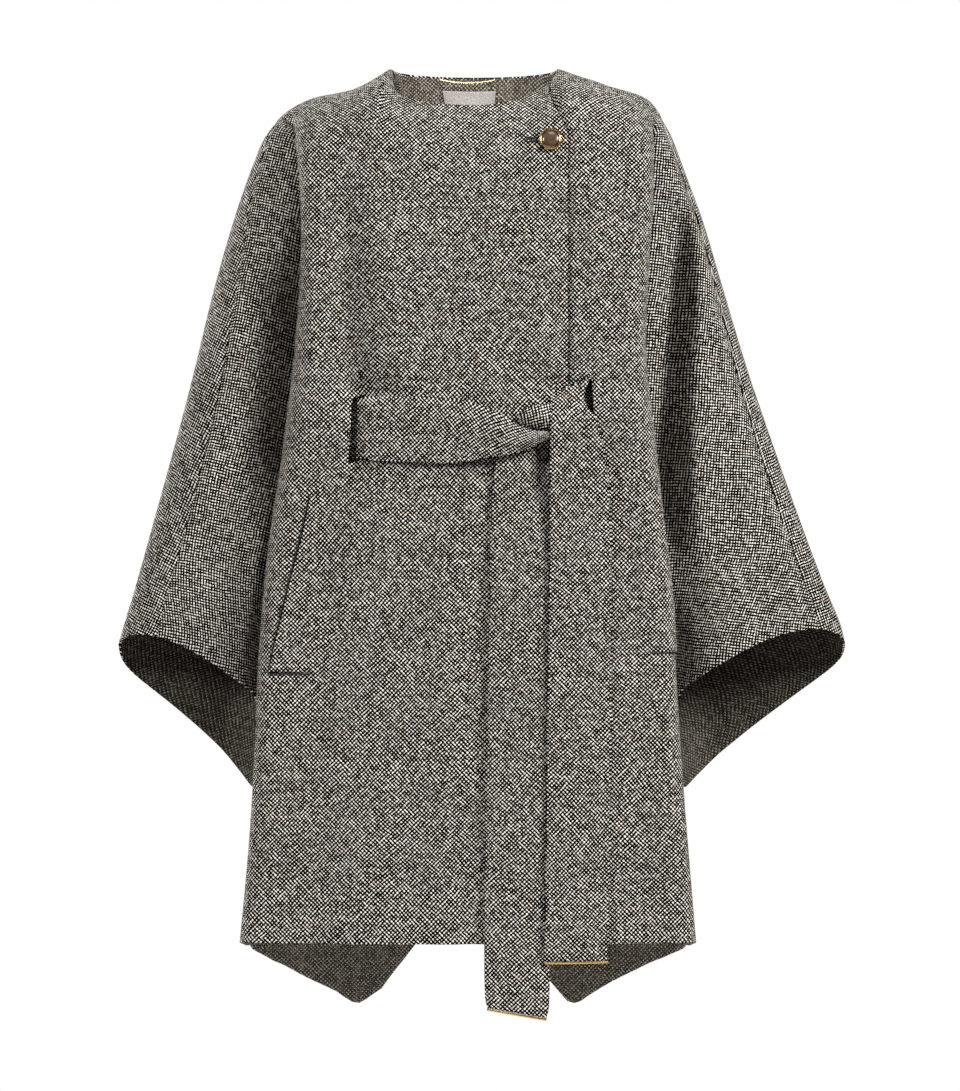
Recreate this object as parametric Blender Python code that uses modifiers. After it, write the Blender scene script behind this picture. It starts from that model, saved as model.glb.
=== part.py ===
"""Belted wrap cape in tweed, in the open form that it has on a wearer.

Metres, +Z up. The origin is the middle of the neck opening, at the height of the two points where the
shoulder seams meet the neckline. The front faces -Y, so the wearer's right side is at -X.
"""

import bisect
import math
from collections import namedtuple

import bmesh
import bpy
from mathutils import Vector

NAME = "tweed_cape"
RIGHT, LEFT = -1, 1
FRONT, BACK = -1, 1

# Cloth and seams
WALL = 0.0025
BELT_WALL = 0.0032
SEAM = 0.0003
FOLDED_SEAM = 0.0020
SHOULDER_SEAM, SHOULDER_SEAM_END = 0.0004, 0.0010
ARMHOLE_SEAM = 0.0009
OVERARM_SEAM = 0.0014
LAP_GAP = 0.0012

# Neck and shoulders
NECK_HALF = 0.0855
NECK_DEPTH = 0.066
NECK_FALL = 0.044
NECK_FALL_POWER = {RIGHT: 0.5, LEFT: 1.1}
NECK_LEAN = {FRONT: math.radians(50), BACK: math.radians(55)}
SHOULDER_END = {RIGHT: 0.2045, LEFT: 0.195}
SHOULDER_DROP = 0.080

# Sections of the body: half widths at the folded side edges and depths from the middle, by height
BodyRow = namedtuple("BodyRow", "z right left front back")
BODY = (
    BodyRow(-0.910, 0.2388, 0.2256, 0.100, 0.088),
    BodyRow(-0.800, 0.2288, 0.2165, 0.099, 0.087),
    BodyRow(-0.700, 0.2230, 0.2090, 0.098, 0.086),
    BodyRow(-0.600, 0.2187, 0.2030, 0.098, 0.086),
    BodyRow(-0.500, 0.2095, 0.1953, 0.098, 0.087),
    BodyRow(-0.400, 0.1960, 0.1850, 0.098, 0.088),
    BodyRow(-0.300, 0.1840, 0.1745, 0.098, 0.088),
    BodyRow(-0.200, 0.1765, 0.1780, 0.096, 0.087),
    BodyRow(-0.140, 0.1770, 0.1820, 0.093, 0.084),
    BodyRow(-0.082, 0.1860, 0.1870, 0.088, 0.080),
)
BOW = {FRONT: 0.020, BACK: 0.014}
MIDDLE = 0.100
CORNER = {FRONT: 0.032, BACK: 0.024}
FLAT_END, CORNER_END, SEAM_END = 1.5, 1.8, 2.0

# Shoulder line from the neck point to the armhole, by its share
ShoulderRow = namedtuple("ShoulderRow", "share right left")
SHOULDER = (
    ShoulderRow(0.00, 0.0000, 0.0000),
    ShoulderRow(0.17, -0.0123, -0.0065),
    ShoulderRow(0.33, -0.0210, -0.0120),
    ShoulderRow(0.50, -0.0257, -0.0185),
    ShoulderRow(0.67, -0.0295, -0.0235),
    ShoulderRow(0.83, -0.0370, -0.0310),
    ShoulderRow(1.00, -0.0490, -0.0445),
)

# Armhole and side seams
SEAM_DEPTH = 0.045
SEAM_TUCK = 0.008
SIDE_TUCK = 0.001
UNDERARM = -0.735
UNDERARM_BEND = -0.560

# Hems
FRONT_HEM = -0.906
SIDE_HEM = -0.918
SIDE_HEM_START = 1.65
HemRow = namedtuple("HemRow", "across right left")
BACK_HEM = (
    HemRow(0.00, -0.868, -0.868),
    HemRow(0.30, -0.886, -0.902),
    HemRow(0.63, -0.928, -0.944),
    HemRow(0.76, -0.945, -0.962),
    HemRow(0.93, -0.967, -0.983),
    HemRow(1.04, -0.983, -0.993),
    HemRow(1.12, -0.993, -0.984),
    HemRow(1.22, -0.979, -0.971),
    HemRow(1.35, -0.963, -0.956),
    HemRow(1.50, -0.944, -0.941),
    HemRow(1.80, -0.927, -0.926),
    HemRow(2.00, SIDE_HEM, SIDE_HEM),
)
BACK_POINT = {RIGHT: 1.12, LEFT: 1.04}
FLUTE = 0.014
FLUTE_SPAN = 0.116
FLUTE_TOP, FLUTE_FULL = -0.300, -0.950

# Wrap: how far across the over front reaches, at the neckline and below its slanted corner
WRAP_NECK = 0.714
WRAP_EDGE = 0.955
WRAP_CORNER = 0.90
Wrap = namedtuple("Wrap", "share")

# Wing sleeves: outer fold and depths, by the height on the armhole seam that each section starts from
WingRow = namedtuple("WingRow", "seam_z out_z right left front back")
WING = (
    WingRow(-0.735, -0.606, 0.3735, 0.3890, 0.056, 0.052),
    WingRow(-0.690, -0.585, 0.3675, 0.3835, 0.058, 0.054),
    WingRow(-0.630, -0.545, 0.3556, 0.3672, 0.060, 0.056),
    WingRow(-0.520, -0.460, 0.3325, 0.3365, 0.060, 0.057),
    WingRow(-0.413, -0.370, 0.3080, 0.3050, 0.060, 0.057),
    WingRow(-0.347, -0.312, 0.2932, 0.2855, 0.059, 0.057),
    WingRow(-0.250, -0.228, 0.2727, 0.2602, 0.057, 0.056),
    WingRow(-0.171, -0.162, 0.2537, 0.2405, 0.054, 0.054),
    WingRow(-0.127, -0.122, 0.2405, 0.2260, 0.050, 0.050),
    WingRow(-0.087, -0.080, 0.2245, 0.2105, 0.042, 0.042),
)
WING_FULLNESS = 2.4
WING_TUCK = {FRONT: 0.014, BACK: 0.020}
OverarmRow = namedtuple("OverarmRow", "seam_z right left")
OVERARM = (
    OverarmRow(-0.735, 0.044, 0.031),
    OverarmRow(-0.520, 0.038, 0.022),
    OverarmRow(-0.300, 0.030, 0.012),
    OverarmRow(-0.200, 0.021, 0.008),
    OverarmRow(-0.127, 0.012, 0.007),
    OverarmRow(-0.087, 0.008, 0.006),
)
Cuff = namedtuple("Cuff", "lift rise slope")
CUFF = {
    (RIGHT, FRONT): Cuff(0.028, 0.075, 1.7),
    (RIGHT, BACK): Cuff(-0.053, -0.030, 1.7),
    (LEFT, FRONT): Cuff(0.036, 0.080, 1.7),
    (LEFT, BACK): Cuff(-0.044, -0.030, 1.45),
}
CUFF_TUCK = 0.005
CUFF_START = -0.420
WING_FRONT_STEPS, WING_FOLD_STEPS, WING_BACK_STEPS = 9, 4, 10
WING_FRONT_CROWD, WING_BACK_CROWD = 1.4, 1.6

# Rows down the panels: the shoulder's round is 0 to 1, and the drop below it 1 to 2
ROUND_STEPS = 6
CAP_STEPS = 3
CHEST_STEPS, SLIT_STEPS, HIP_STEPS, SKIRT_STEPS = 4, 2, 6, 4
SLIT_HIGH, SLIT_TOP, SLIT_LOW = 1.297, 1.313, 1.395
UNDERARM_ROW = 1.768

# Columns across the panels: the neck and the wrap in even steps, then from beside the neck to the seam
NECK_STEPS, WRAP_STEPS = 5, 5
OUTER_COLUMNS = [1.22, 1.35, 1.5, 1.6, 1.7, 1.8, 1.9, 2.0]

# Belt slits
SLIT_X = {RIGHT: 0.120, LEFT: 0.120}
SLIT_WIDTH = 0.013
SLIT_Z = -0.380

# Belt on the front: each row is a cut across a stretch, with the lift of its underside from the front
BandRow = namedtuple("BandRow", "x top bottom lift puff")
BAND = (
    BandRow(-0.1380, -0.3490, -0.4090, -0.0068, 0.0000),
    BandRow(-0.1230, -0.3485, -0.4095, -0.0066, 0.0000),
    BandRow(-0.1145, -0.3480, -0.4105, 0.0026, 0.0000),
    BandRow(-0.1000, -0.3480, -0.4125, 0.0008, 0.0000),
    BandRow(-0.0660, -0.3480, -0.4140, 0.0006, 0.0010),
    BandRow(-0.0190, -0.3510, -0.4150, 0.0014, 0.0025),
    BandRow(0.0120, -0.3590, -0.4100, 0.0046, 0.0040),
    BandRow(0.0350, -0.3710, -0.4070, 0.0060, 0.0060),
    BandRow(0.0570, -0.3815, -0.4045, 0.0062, 0.0060),
    BandRow(0.0740, -0.3845, -0.3960, 0.0046, 0.0012),
    BandRow(0.0820, -0.3850, -0.3930, 0.0044, 0.0000),
)
LOOP = (
    BandRow(0.0450, -0.3660, -0.3740, 0.0046, 0.0000),
    BandRow(0.0510, -0.3605, -0.3770, 0.0050, 0.0050),
    BandRow(0.0620, -0.3570, -0.3820, 0.0052, 0.0070),
    BandRow(0.0740, -0.3550, -0.3835, 0.0046, 0.0012),
    BandRow(0.0820, -0.3545, -0.3840, 0.0044, 0.0000),
)
RETURN = (
    BandRow(0.1000, -0.3420, -0.4040, 0.0006, 0.0000),
    BandRow(0.1135, -0.3420, -0.4040, 0.0026, 0.0000),
    BandRow(0.1230, -0.3440, -0.4060, -0.0066, 0.0000),
    BandRow(0.1400, -0.3470, -0.4090, -0.0068, 0.0000),
)
TailRow = namedtuple("TailRow", "drop left_x right_x slant left_lift right_lift")
TAIL_LONG = (
    TailRow(0.3980, 0.0240, 0.0795, 0.0000, 0.0008, 0.0008),
    TailRow(0.4410, 0.0191, 0.0795, 0.0000, 0.0008, 0.0008),
    TailRow(0.4920, 0.0170, 0.0792, 0.0000, 0.0008, 0.0008),
    TailRow(0.7000, 0.0130, 0.0782, 0.0000, 0.0008, 0.0008),
    TailRow(0.9000, 0.0099, 0.0770, -0.0060, 0.0008, 0.0008),
    TailRow(0.9600, 0.0107, 0.0762, -0.0100, 0.0008, 0.0008),
    TailRow(0.9700, 0.0130, 0.0735, -0.0105, 0.0008, 0.0008),
)
TAIL_SHORT = (
    TailRow(0.3520, 0.0775, 0.1175, 0.0200, 0.0090, 0.0064),
    TailRow(0.3720, 0.0775, 0.1225, 0.0100, 0.0095, 0.0064),
    TailRow(0.4000, 0.0775, 0.1315, 0.0030, 0.0095, 0.0058),
    TailRow(0.4300, 0.0772, 0.1365, 0.0010, 0.0090, 0.0042),
    TailRow(0.4940, 0.0770, 0.1397, 0.0000, 0.0072, 0.0018),
    TailRow(0.7000, 0.0745, 0.1397, 0.0000, 0.0062, 0.0014),
    TailRow(0.9220, 0.0717, 0.1360, 0.0000, 0.0060, 0.0014),
)
BELT_ACROSS_STEPS, BELT_ROW_STEPS = 6, 2
BAR_RADIUS = 0.0014

# Belt inside the body: a level strip with rounded corners, between the two slits
INNER_BELT_TOP, INNER_BELT_LOW = -0.3485, -0.4105
INNER_BELT_HALF = {RIGHT: 0.172, LEFT: 0.162}
INNER_BELT_START = {RIGHT: 0.1390, LEFT: 0.1412}
INNER_BELT_FRONT, INNER_BELT_BACK = 0.1000, 0.0840
INNER_BELT_SLIT = 0.1030
INNER_BELT_CORNER, INNER_BELT_CORNER_STEPS = 0.014, 5

# Pocket welts: distance round the front from its middle, to the welt's inner edge
WeltRow = namedtuple("WeltRow", "z right left width")
WELT = (
    WeltRow(-0.629, 0.1670, 0.1796, 0.0370),
    WeltRow(-0.540, 0.1525, 0.1640, 0.0340),
    WeltRow(-0.449, 0.1375, 0.1480, 0.0300),
)
WELT_RISE = {RIGHT: 0.0, LEFT: 0.021}
WELT_WALL, WELT_GAP = 0.0020, 0.0006
WELT_ACROSS_STEPS, WELT_DOWN_STEPS = 5, 7

# Button, hanger and label
BUTTON_ACROSS, BUTTON_ROW = 0.779, 0.915
BUTTON_STEPS, BUTTON_GAP = 32, 0.0006
TurnedRow = namedtuple("TurnedRow", "radius height")
BUTTON_RIM = (
    TurnedRow(0.0000, 0.0024),
    TurnedRow(0.0088, 0.0024),
    TurnedRow(0.0090, 0.0040),
    TurnedRow(0.0098, 0.0048),
    TurnedRow(0.0108, 0.0046),
    TurnedRow(0.0115, 0.0034),
    TurnedRow(0.0113, 0.0014),
    TurnedRow(0.0100, 0.0000),
    TurnedRow(0.0000, 0.0000),
)
BUTTON_FACE = (
    TurnedRow(0.0000, 0.0058),
    TurnedRow(0.0030, 0.0057),
    TurnedRow(0.0060, 0.0053),
    TurnedRow(0.0079, 0.0046),
    TurnedRow(0.0085, 0.0037),
    TurnedRow(0.0084, 0.0027),
    TurnedRow(0.0000, 0.0027),
)
HANGER_ENDS, HANGER_ROW = (-0.300, 0.168), 0.0
HANGER_SAG, HANGER_BOW = 0.0012, 0.0020
HANGER_RADIUS, HANGER_STEPS = 0.0011, 10
LABEL_ENDS, LABEL_ROWS = (-0.290, 0.190), (0.165, 0.552)
LABEL_WALL = 0.0010
LABEL_ACROSS_STEPS, LABEL_DOWN_STEPS = 8, 4
NECK_GAP = 0.0012


def along(rows, key, column, at):
    """Reads a column of a table at a value of its key column, on a smooth curve through the rows."""
    keys = [getattr(row, key) for row in rows]
    values = [getattr(row, column) for row in rows]
    last = len(keys) - 1
    at = min(max(at, keys[0]), keys[last])
    low = min(max(bisect.bisect_right(keys, at) - 1, 0), last - 1)

    def slope(index):
        before, after = max(index - 1, 0), min(index + 1, last)
        return (values[after] - values[before]) / (keys[after] - keys[before])

    step = keys[low + 1] - keys[low]
    share = (at - keys[low]) / step
    rest = 1 - share
    start = values[low] * (1 + 2 * share) + slope(low) * step * share
    end = values[low + 1] * (1 + 2 * rest) - slope(low + 1) * step * rest
    return start * rest * rest + end * share * share


def ease(low, high, at):
    """0 at low, 1 at high, and a smooth rise between them."""
    share = min(max((at - low) / (high - low), 0.0), 1.0)
    return share * share * (3 - 2 * share)


def steps(start, end, count):
    """The count values after start that end at end."""
    return [start + (end - start) * (k + 1) / count for k in range(count)]


def side_name(side):
    return "right" if side == RIGHT else "left"


def edge_x(side, z):
    return along(BODY, "z", side_name(side), z)


def depth_at(face, x, z):
    """How far the front or the back stands from the middle, fullest at x = 0."""
    depth = along(BODY, "z", "front" if face == FRONT else "back", z)
    return depth + BOW[face] * (1 - (x / edge_x(LEFT if x > 0 else RIGHT, z)) ** 2)


def seam_share(z):
    """1 where front and back stand apart at the armhole, 0 where they meet in the side seam."""
    return 1 - ease(UNDERARM_BEND, UNDERARM, z)


def flute(x, z):
    """How far the back swings out: full at its two long points, hollow in the middle."""
    swing = ease(FLUTE_TOP, FLUTE_FULL, z)
    return FLUTE * swing * math.cos(math.pi * (abs(x) - FLUTE_SPAN) / FLUTE_SPAN)


def section(side, face, across, z):
    """x and y on a level cut of the body. Across is 0 at the middle and SEAM_END at the seam."""
    edge, corner = edge_x(side, z), CORNER[face]
    flat = edge - corner
    inset = 0.0
    if across <= 1:
        x = MIDDLE * across
    elif across <= FLAT_END:
        x = MIDDLE + (flat - MIDDLE) * (across - 1) / (FLAT_END - 1)
    else:
        turn = math.pi / 2 * min(1.0, (across - FLAT_END) / (CORNER_END - FLAT_END))
        x, inset = flat + corner * math.sin(turn), corner * (1 - math.cos(turn))
    y = depth_at(face, side * x, z) - inset
    if across > CORNER_END:
        share = (across - CORNER_END) / (SEAM_END - CORNER_END)
        apart = seam_share(z)
        x -= (SIDE_TUCK + (SEAM_TUCK - SIDE_TUCK) * apart) * share * share
        y += (SEAM_DEPTH * apart + SEAM / 2 - y) * share
    if face == BACK:
        y += flute(x, z) * min(1.0, max(0.0, (CORNER_END - across) / (CORNER_END - FLAT_END)))
    return side * x, face * y


def top_point(side, face, across):
    """The point on the neckline or the shoulder seam that a column of the panel hangs from."""
    if across <= 1:
        turn = across * math.pi / 2
        fall = NECK_FALL * math.cos(turn) ** NECK_FALL_POWER[side] if face == FRONT and across < 1 else 0.0
        y = face * (SHOULDER_SEAM + NECK_DEPTH * math.cos(turn))
        return Vector((side * NECK_HALF * math.sin(turn), y, -fall))
    share = across - 1
    x = NECK_HALF + (SHOULDER_END[side] - NECK_HALF) * share
    apart = SHOULDER_SEAM + (SHOULDER_SEAM_END - SHOULDER_SEAM) * share
    return Vector((side * x, face * apart, along(SHOULDER, "share", side_name(side), share)))


def hem_z(side, face, across):
    if face == BACK:
        return along(BACK_HEM, "across", side_name(side), across)
    return FRONT_HEM + (SIDE_HEM - FRONT_HEM) * ease(SIDE_HEM_START, SEAM_END, across)


def panel_point(face, signed_across, row):
    """A point on the outer face of the front or the back."""
    side = LEFT if signed_across >= 0 else RIGHT
    across = abs(signed_across)
    top = top_point(side, face, across)
    lean = NECK_LEAN[face] * math.cos(min(across, 1) * math.pi / 2)
    turn = lean + (math.pi / 2 - lean) * min(row, 1)
    share = (math.sin(turn) - math.sin(lean)) / (1 - math.sin(lean))
    z = top.z - SHOULDER_DROP * (1 - math.cos(turn) / math.cos(lean))
    if row > 1:
        z += (hem_z(side, face, across) - z) * (row - 1)
    x, y = section(side, face, across, z)
    return Vector((top.x + (x - top.x) * share, top.y + (y - top.y) * share, z))


def panel_normal(face, across, row):
    """The way out of the cloth at a point of the front or the back."""
    step = 1e-3
    side_step = step if across < SEAM_END - step else -step
    down_step = step if row < 2 - step else -step
    here = panel_point(face, across, row)
    sideways = (panel_point(face, across + side_step, row) - here) / side_step
    down = (panel_point(face, across, row + down_step) - here) / down_step
    return (sideways.cross(down) * face).normalized()


def moved_out(face, across, row, distance):
    return panel_point(face, across, row) + panel_normal(face, across, row) * distance


def wrap_reach(row):
    """How far across the over front reaches in this row."""
    dropped = 1 - math.cos(math.pi / 2 * min(row, 1))
    return WRAP_NECK + (WRAP_EDGE - WRAP_NECK) * min(1.0, dropped / WRAP_CORNER)


def wing_point(side, face, out, row):
    """A point on the outer face of a wing sleeve. Out is 0 at the armhole seam and 1 at the outer fold."""
    seam = panel_point(face, side * SEAM_END, row)
    outer_x = along(WING, "seam_z", side_name(side), seam.z)
    outer_z = along(WING, "seam_z", "out_z", seam.z)
    depth = along(WING, "seam_z", "front" if face == FRONT else "back", seam.z)
    width = outer_x - abs(seam.x)
    full = max(0.0, 1 - out ** WING_FULLNESS) ** (1 / WING_FULLNESS)
    tuck = math.exp(-out * width / WING_TUCK[face])
    y = face * (depth * full - (depth - abs(seam.y)) * tuck)
    down, cuff = ease(CUFF_START, UNDERARM, seam.z), CUFF[side, face]
    lift, rise = down * cuff.lift, down * cuff.rise
    slope = (outer_z - seam.z - rise + lift) * (1 - out) ** cuff.slope
    z = outer_z + lift * full - slope - rise * math.exp(-((out * width / CUFF_TUCK) ** 2))
    return Vector((side * (abs(seam.x) + width * out), y, z))


def overarm_share(side, row, gap):
    """How far out the overarm seam lies on the front of the wing sleeve, less a gap."""
    seam = panel_point(FRONT, side * SEAM_END, row)
    width = along(WING, "seam_z", side_name(side), seam.z) - abs(seam.x)
    return 1 - (gap + along(OVERARM, "seam_z", side_name(side), seam.z)) / width


def front_point(side, distance, z, lift):
    """A point over the front at a distance round it from the middle, moved out by lift."""
    corner = CORNER[FRONT]
    flat = edge_x(side, z) - corner
    turn = min(max((distance - flat) / corner, 0.0), math.pi / 2)
    x = min(distance, flat) + corner * math.sin(turn)
    y = depth_at(FRONT, side * x, z) - corner * (1 - math.cos(turn)) + lift * math.cos(turn)
    past = max(0.0, distance - flat - corner * math.pi / 2)
    return Vector((side * (x + lift * math.sin(turn)), past - y, z))


def material(name, colour, roughness, metallic=0.0):
    made = bpy.data.materials.new(name)
    made.use_nodes = True
    shader = made.node_tree.nodes["Principled BSDF"]
    shader.inputs["Base Color"].default_value = (*colour, 1.0)
    shader.inputs["Roughness"].default_value = roughness
    shader.inputs["Metallic"].default_value = metallic
    return made


def place_in_part(obj, finish):
    """Puts a finished object in the garment's collection, under the point where it is held."""
    for old in obj.users_collection:
        old.objects.unlink(obj)
    bpy.data.collections[NAME].objects.link(obj)
    obj.parent = bpy.data.objects["held_at_neck"]
    obj.data.materials.append(finish)
    return obj


def cloth(name, columns, rows, place, finish, wall=WALL, turned=False, slit=None):
    """A cloth wall: a grid laid on place(column, row), thickened inwards. Slit is a span of the grid."""
    across, down = len(columns) - 1, len(rows) - 1
    grid = bmesh.new()
    bmesh.ops.create_grid(grid, x_segments=across, y_segments=down, size=0.5)
    cells = {}
    for face in grid.faces:
        middle = face.calc_center_median()
        cells[face] = (int((middle.x + 0.5) * across), int((middle.y + 0.5) * down))
    for vert in grid.verts:
        column = round((vert.co.x + 0.5) * across)
        row = round((vert.co.y + 0.5) * down)
        vert.co = place(columns[column], rows[row])
    if slit:
        first, last, top, low = slit
        cut = [f for f, (c, r) in cells.items() if first <= c < last and top <= r < low]
        bmesh.ops.delete(grid, geom=cut, context="FACES")
    if turned:
        bmesh.ops.reverse_faces(grid, faces=grid.faces)
    mesh = bpy.data.meshes.new(name)
    grid.to_mesh(mesh)
    grid.free()
    mesh.shade_smooth()
    obj = place_in_part(bpy.data.objects.new(name, mesh), finish)
    thick = obj.modifiers.new("Wall", "SOLIDIFY")
    thick.thickness = wall
    thick.offset = -1
    return obj


def turned_part(name, profile, frame, finish):
    """A turned piece from a profile of radius and height, run from the top middle to the bottom middle."""
    mesh = bpy.data.meshes.new(name)
    points = [(radius, 0.0, height) for radius, height in profile]
    mesh.from_pydata(points, [(k, k + 1) for k in range(len(points) - 1)], [])
    obj = place_in_part(bpy.data.objects.new(name, mesh), finish)
    obj.matrix_world = frame
    turn = obj.modifiers.new("Turn", "SCREW")
    turn.steps = turn.render_steps = BUTTON_STEPS
    turn.use_merge_vertices = True
    turn.merge_threshold = 0.00001
    return obj


def rod(name, points, radius, finish):
    curve = bpy.data.curves.new(name, "CURVE")
    curve.dimensions = "3D"
    curve.bevel_depth = radius
    curve.bevel_resolution = 2
    curve.use_fill_caps = True
    spline = curve.splines.new("POLY")
    spline.points.add(len(points) - 1)
    for spot, point in zip(spline.points, points):
        spot.co = (*point, 1.0)
    return place_in_part(bpy.data.objects.new(name, curve), finish)


def panel_rows():
    rows = [0.0] + steps(0, 1, ROUND_STEPS) + steps(1, SLIT_HIGH, CHEST_STEPS) + [SLIT_TOP]
    rows += steps(SLIT_TOP, SLIT_LOW, SLIT_STEPS) + steps(SLIT_LOW, UNDERARM_ROW, HIP_STEPS)
    return rows + steps(UNDERARM_ROW, 2, SKIRT_STEPS)


def slit_span(side):
    """The two columns on either side of a belt slit."""
    flat = edge_x(side, SLIT_Z) - CORNER[FRONT]
    share = (FLAT_END - 1) / (flat - MIDDLE)
    low, high = SLIT_X[side] - SLIT_WIDTH / 2, SLIT_X[side] + SLIT_WIDTH / 2
    return [1 + (low - MIDDLE) * share, 1 + (high - MIDDLE) * share]


def column_across(column, row):
    """Where a column of a front lies: those past the middle share out the reach of the wrap."""
    return column.share * wrap_reach(row) if isinstance(column, Wrap) else column


def make_fronts(tweed):
    rows = panel_rows()
    neck = [0.0] + steps(0, 1, NECK_STEPS)
    right = [-a for a in reversed(neck + slit_span(RIGHT) + OUTER_COLUMNS[1:])]
    over = right + [Wrap(share) for share in steps(0, 1, WRAP_STEPS)]

    def over_point(column, row):
        return panel_point(FRONT, column_across(column, row), row)

    first = right.index(-slit_span(RIGHT)[1])
    top, low = rows.index(SLIT_TOP), rows.index(SLIT_LOW)
    cloth("front_right", over, rows, over_point, tweed, turned=True, slit=(first, first + 1, top, low))

    left = neck[1:] + slit_span(LEFT) + OUTER_COLUMNS[1:]
    under = [Wrap(-share) for share in reversed(steps(0, 1, WRAP_STEPS))] + [0.0] + left

    def under_point(column, row):
        across = column_across(column, row)
        inset = (WALL + LAP_GAP) * (1 - ease(1.0, slit_span(LEFT)[0], across))
        return moved_out(FRONT, across, row, -inset)

    first = under.index(slit_span(LEFT)[0])
    high = rows.index(SLIT_HIGH)
    cloth("front_left", under, rows, under_point, tweed, turned=True, slit=(first, first + 1, high, low))


def make_back(tweed):
    neck = steps(0, 1, NECK_STEPS)
    right, left = ([*neck, BACK_POINT[side], *OUTER_COLUMNS] for side in (RIGHT, LEFT))
    columns = [-a for a in reversed(right)] + [0.0] + left
    cloth("back", columns, panel_rows(), lambda a, row: panel_point(BACK, a, row), tweed)


def cap_point(side, face, share):
    """A point on the armhole's cap: 0 at the shoulder seam, 1 where the wing's first section starts."""
    return panel_point(face, side * SEAM_END, share * CAP_STEPS / ROUND_STEPS)


def away(point, towards, distance):
    return point + (towards - point).normalized() * distance


def make_wing(side, tweed):
    """The two halves of a wing sleeve, split at the overarm seam."""
    rows = [row for row in panel_rows() if CAP_STEPS / ROUND_STEPS < row <= UNDERARM_ROW]
    front_columns = [0.0] + steps(0, 1, WING_FRONT_STEPS)
    back_columns = [0.0] + steps(0, 1, WING_FOLD_STEPS + WING_BACK_STEPS)
    fold_share = WING_FOLD_STEPS / (WING_FOLD_STEPS + WING_BACK_STEPS)

    def seam_start(face, row):
        """The share of the section that keeps it clear of the armhole seam, wider near the underarm."""
        seam = panel_point(face, side * SEAM_END, row)
        apart = FOLDED_SEAM + (ARMHOLE_SEAM - FOLDED_SEAM) * seam_share(seam.z)
        return apart / (along(WING, "seam_z", side_name(side), seam.z) - abs(seam.x))

    def front_place(column, row):
        start = seam_start(FRONT, row)
        end = overarm_share(side, row, OVERARM_SEAM)
        return wing_point(side, FRONT, start + (end - start) * column ** WING_FRONT_CROWD, row)

    def back_place(column, row):
        seam_turn = math.asin(overarm_share(side, row, 0) ** (WING_FULLNESS / 2))
        if column <= fold_share:
            turn = seam_turn + (math.pi / 2 - seam_turn) * column / fold_share
            return wing_point(side, FRONT, math.sin(turn) ** (2 / WING_FULLNESS), row)
        share = (1 - column) / (1 - fold_share)
        out = math.sin(math.pi / 2 * share ** WING_BACK_CROWD) ** (2 / WING_FULLNESS)
        return wing_point(side, BACK, max(out, seam_start(BACK, row)), row)

    def front_cloth(column, row):
        if row is None:
            next_point = front_place(column, rows[0])
            return away(cap_point(side, FRONT, 1 - column), next_point, FOLDED_SEAM)
        return front_place(column, row)

    def back_cloth(column, row):
        if row is None:
            next_point = back_place(column, rows[0])
            return away(cap_point(side, BACK, column), next_point, FOLDED_SEAM)
        return back_place(column, row)

    name = side_name(side)
    turned = side == RIGHT
    cloth("sleeve_front_" + name, front_columns, [None] + rows, front_cloth, tweed, turned=not turned)
    cloth("sleeve_back_" + name, back_columns, [None] + rows, back_cloth, tweed, turned=not turned)


def make_welts(tweed):
    for side in (RIGHT, LEFT):
        name = side_name(side)

        def welt_point(share, z, side=side, name=name):
            start = along(WELT, "z", name, z)
            width = along(WELT, "z", "width", z)
            return front_point(side, start + width * share, z + WELT_RISE[side], WELT_GAP + WELT_WALL)

        heights = [WELT[-1].z] + steps(WELT[-1].z, WELT[0].z, WELT_DOWN_STEPS)
        shares = [0.0] + steps(0, 1, WELT_ACROSS_STEPS)
        cloth("welt_" + name, shares, heights, welt_point, tweed, wall=WELT_WALL, turned=side == LEFT)


def between(table, key):
    """The key values of a table's rows, with even steps between them."""
    values = [getattr(row, key) for row in table]
    stops = values[:1]
    for before, after in zip(values, values[1:]):
        stops += steps(before, after, BELT_ROW_STEPS)
    return stops


def make_band(name, table, tweed):
    """A stretch of the belt that runs across the front."""

    def band_point(x, down):
        z = along(table, "x", "top", x)
        z += (along(table, "x", "bottom", x) - z) * down
        lift = along(table, "x", "lift", x) + along(table, "x", "puff", x) * math.sin(math.pi * down)
        return Vector((x, -depth_at(FRONT, x, z) - lift - BELT_WALL, z))

    shares = [0.0] + steps(0, 1, BELT_ACROSS_STEPS)
    cloth(name, between(table, "x"), shares, band_point, tweed, wall=BELT_WALL, turned=True)


def make_tail(name, table, tweed, brass):
    """A hanging end of the belt, with the bar that closes it."""

    def tail_point(share, drop):
        left, right = along(table, "drop", "left_x", drop), along(table, "drop", "right_x", drop)
        lift = along(table, "drop", "left_lift", drop)
        lift += (along(table, "drop", "right_lift", drop) - lift) * share
        z = along(table, "drop", "slant", drop) * share - drop
        x = left + (right - left) * share
        return Vector((x, -depth_at(FRONT, x, z) - lift - BELT_WALL, z))

    shares, drops = [0.0] + steps(0, 1, BELT_ACROSS_STEPS), between(table, "drop")
    cloth("belt_tail_" + name, shares, drops, tail_point, tweed, wall=BELT_WALL, turned=True)
    below = Vector((0, BELT_WALL / 2, -BAR_RADIUS - SEAM))
    rod("belt_bar_" + name, [tail_point(share, drops[-1]) + below for share in shares], BAR_RADIUS, brass)


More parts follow.
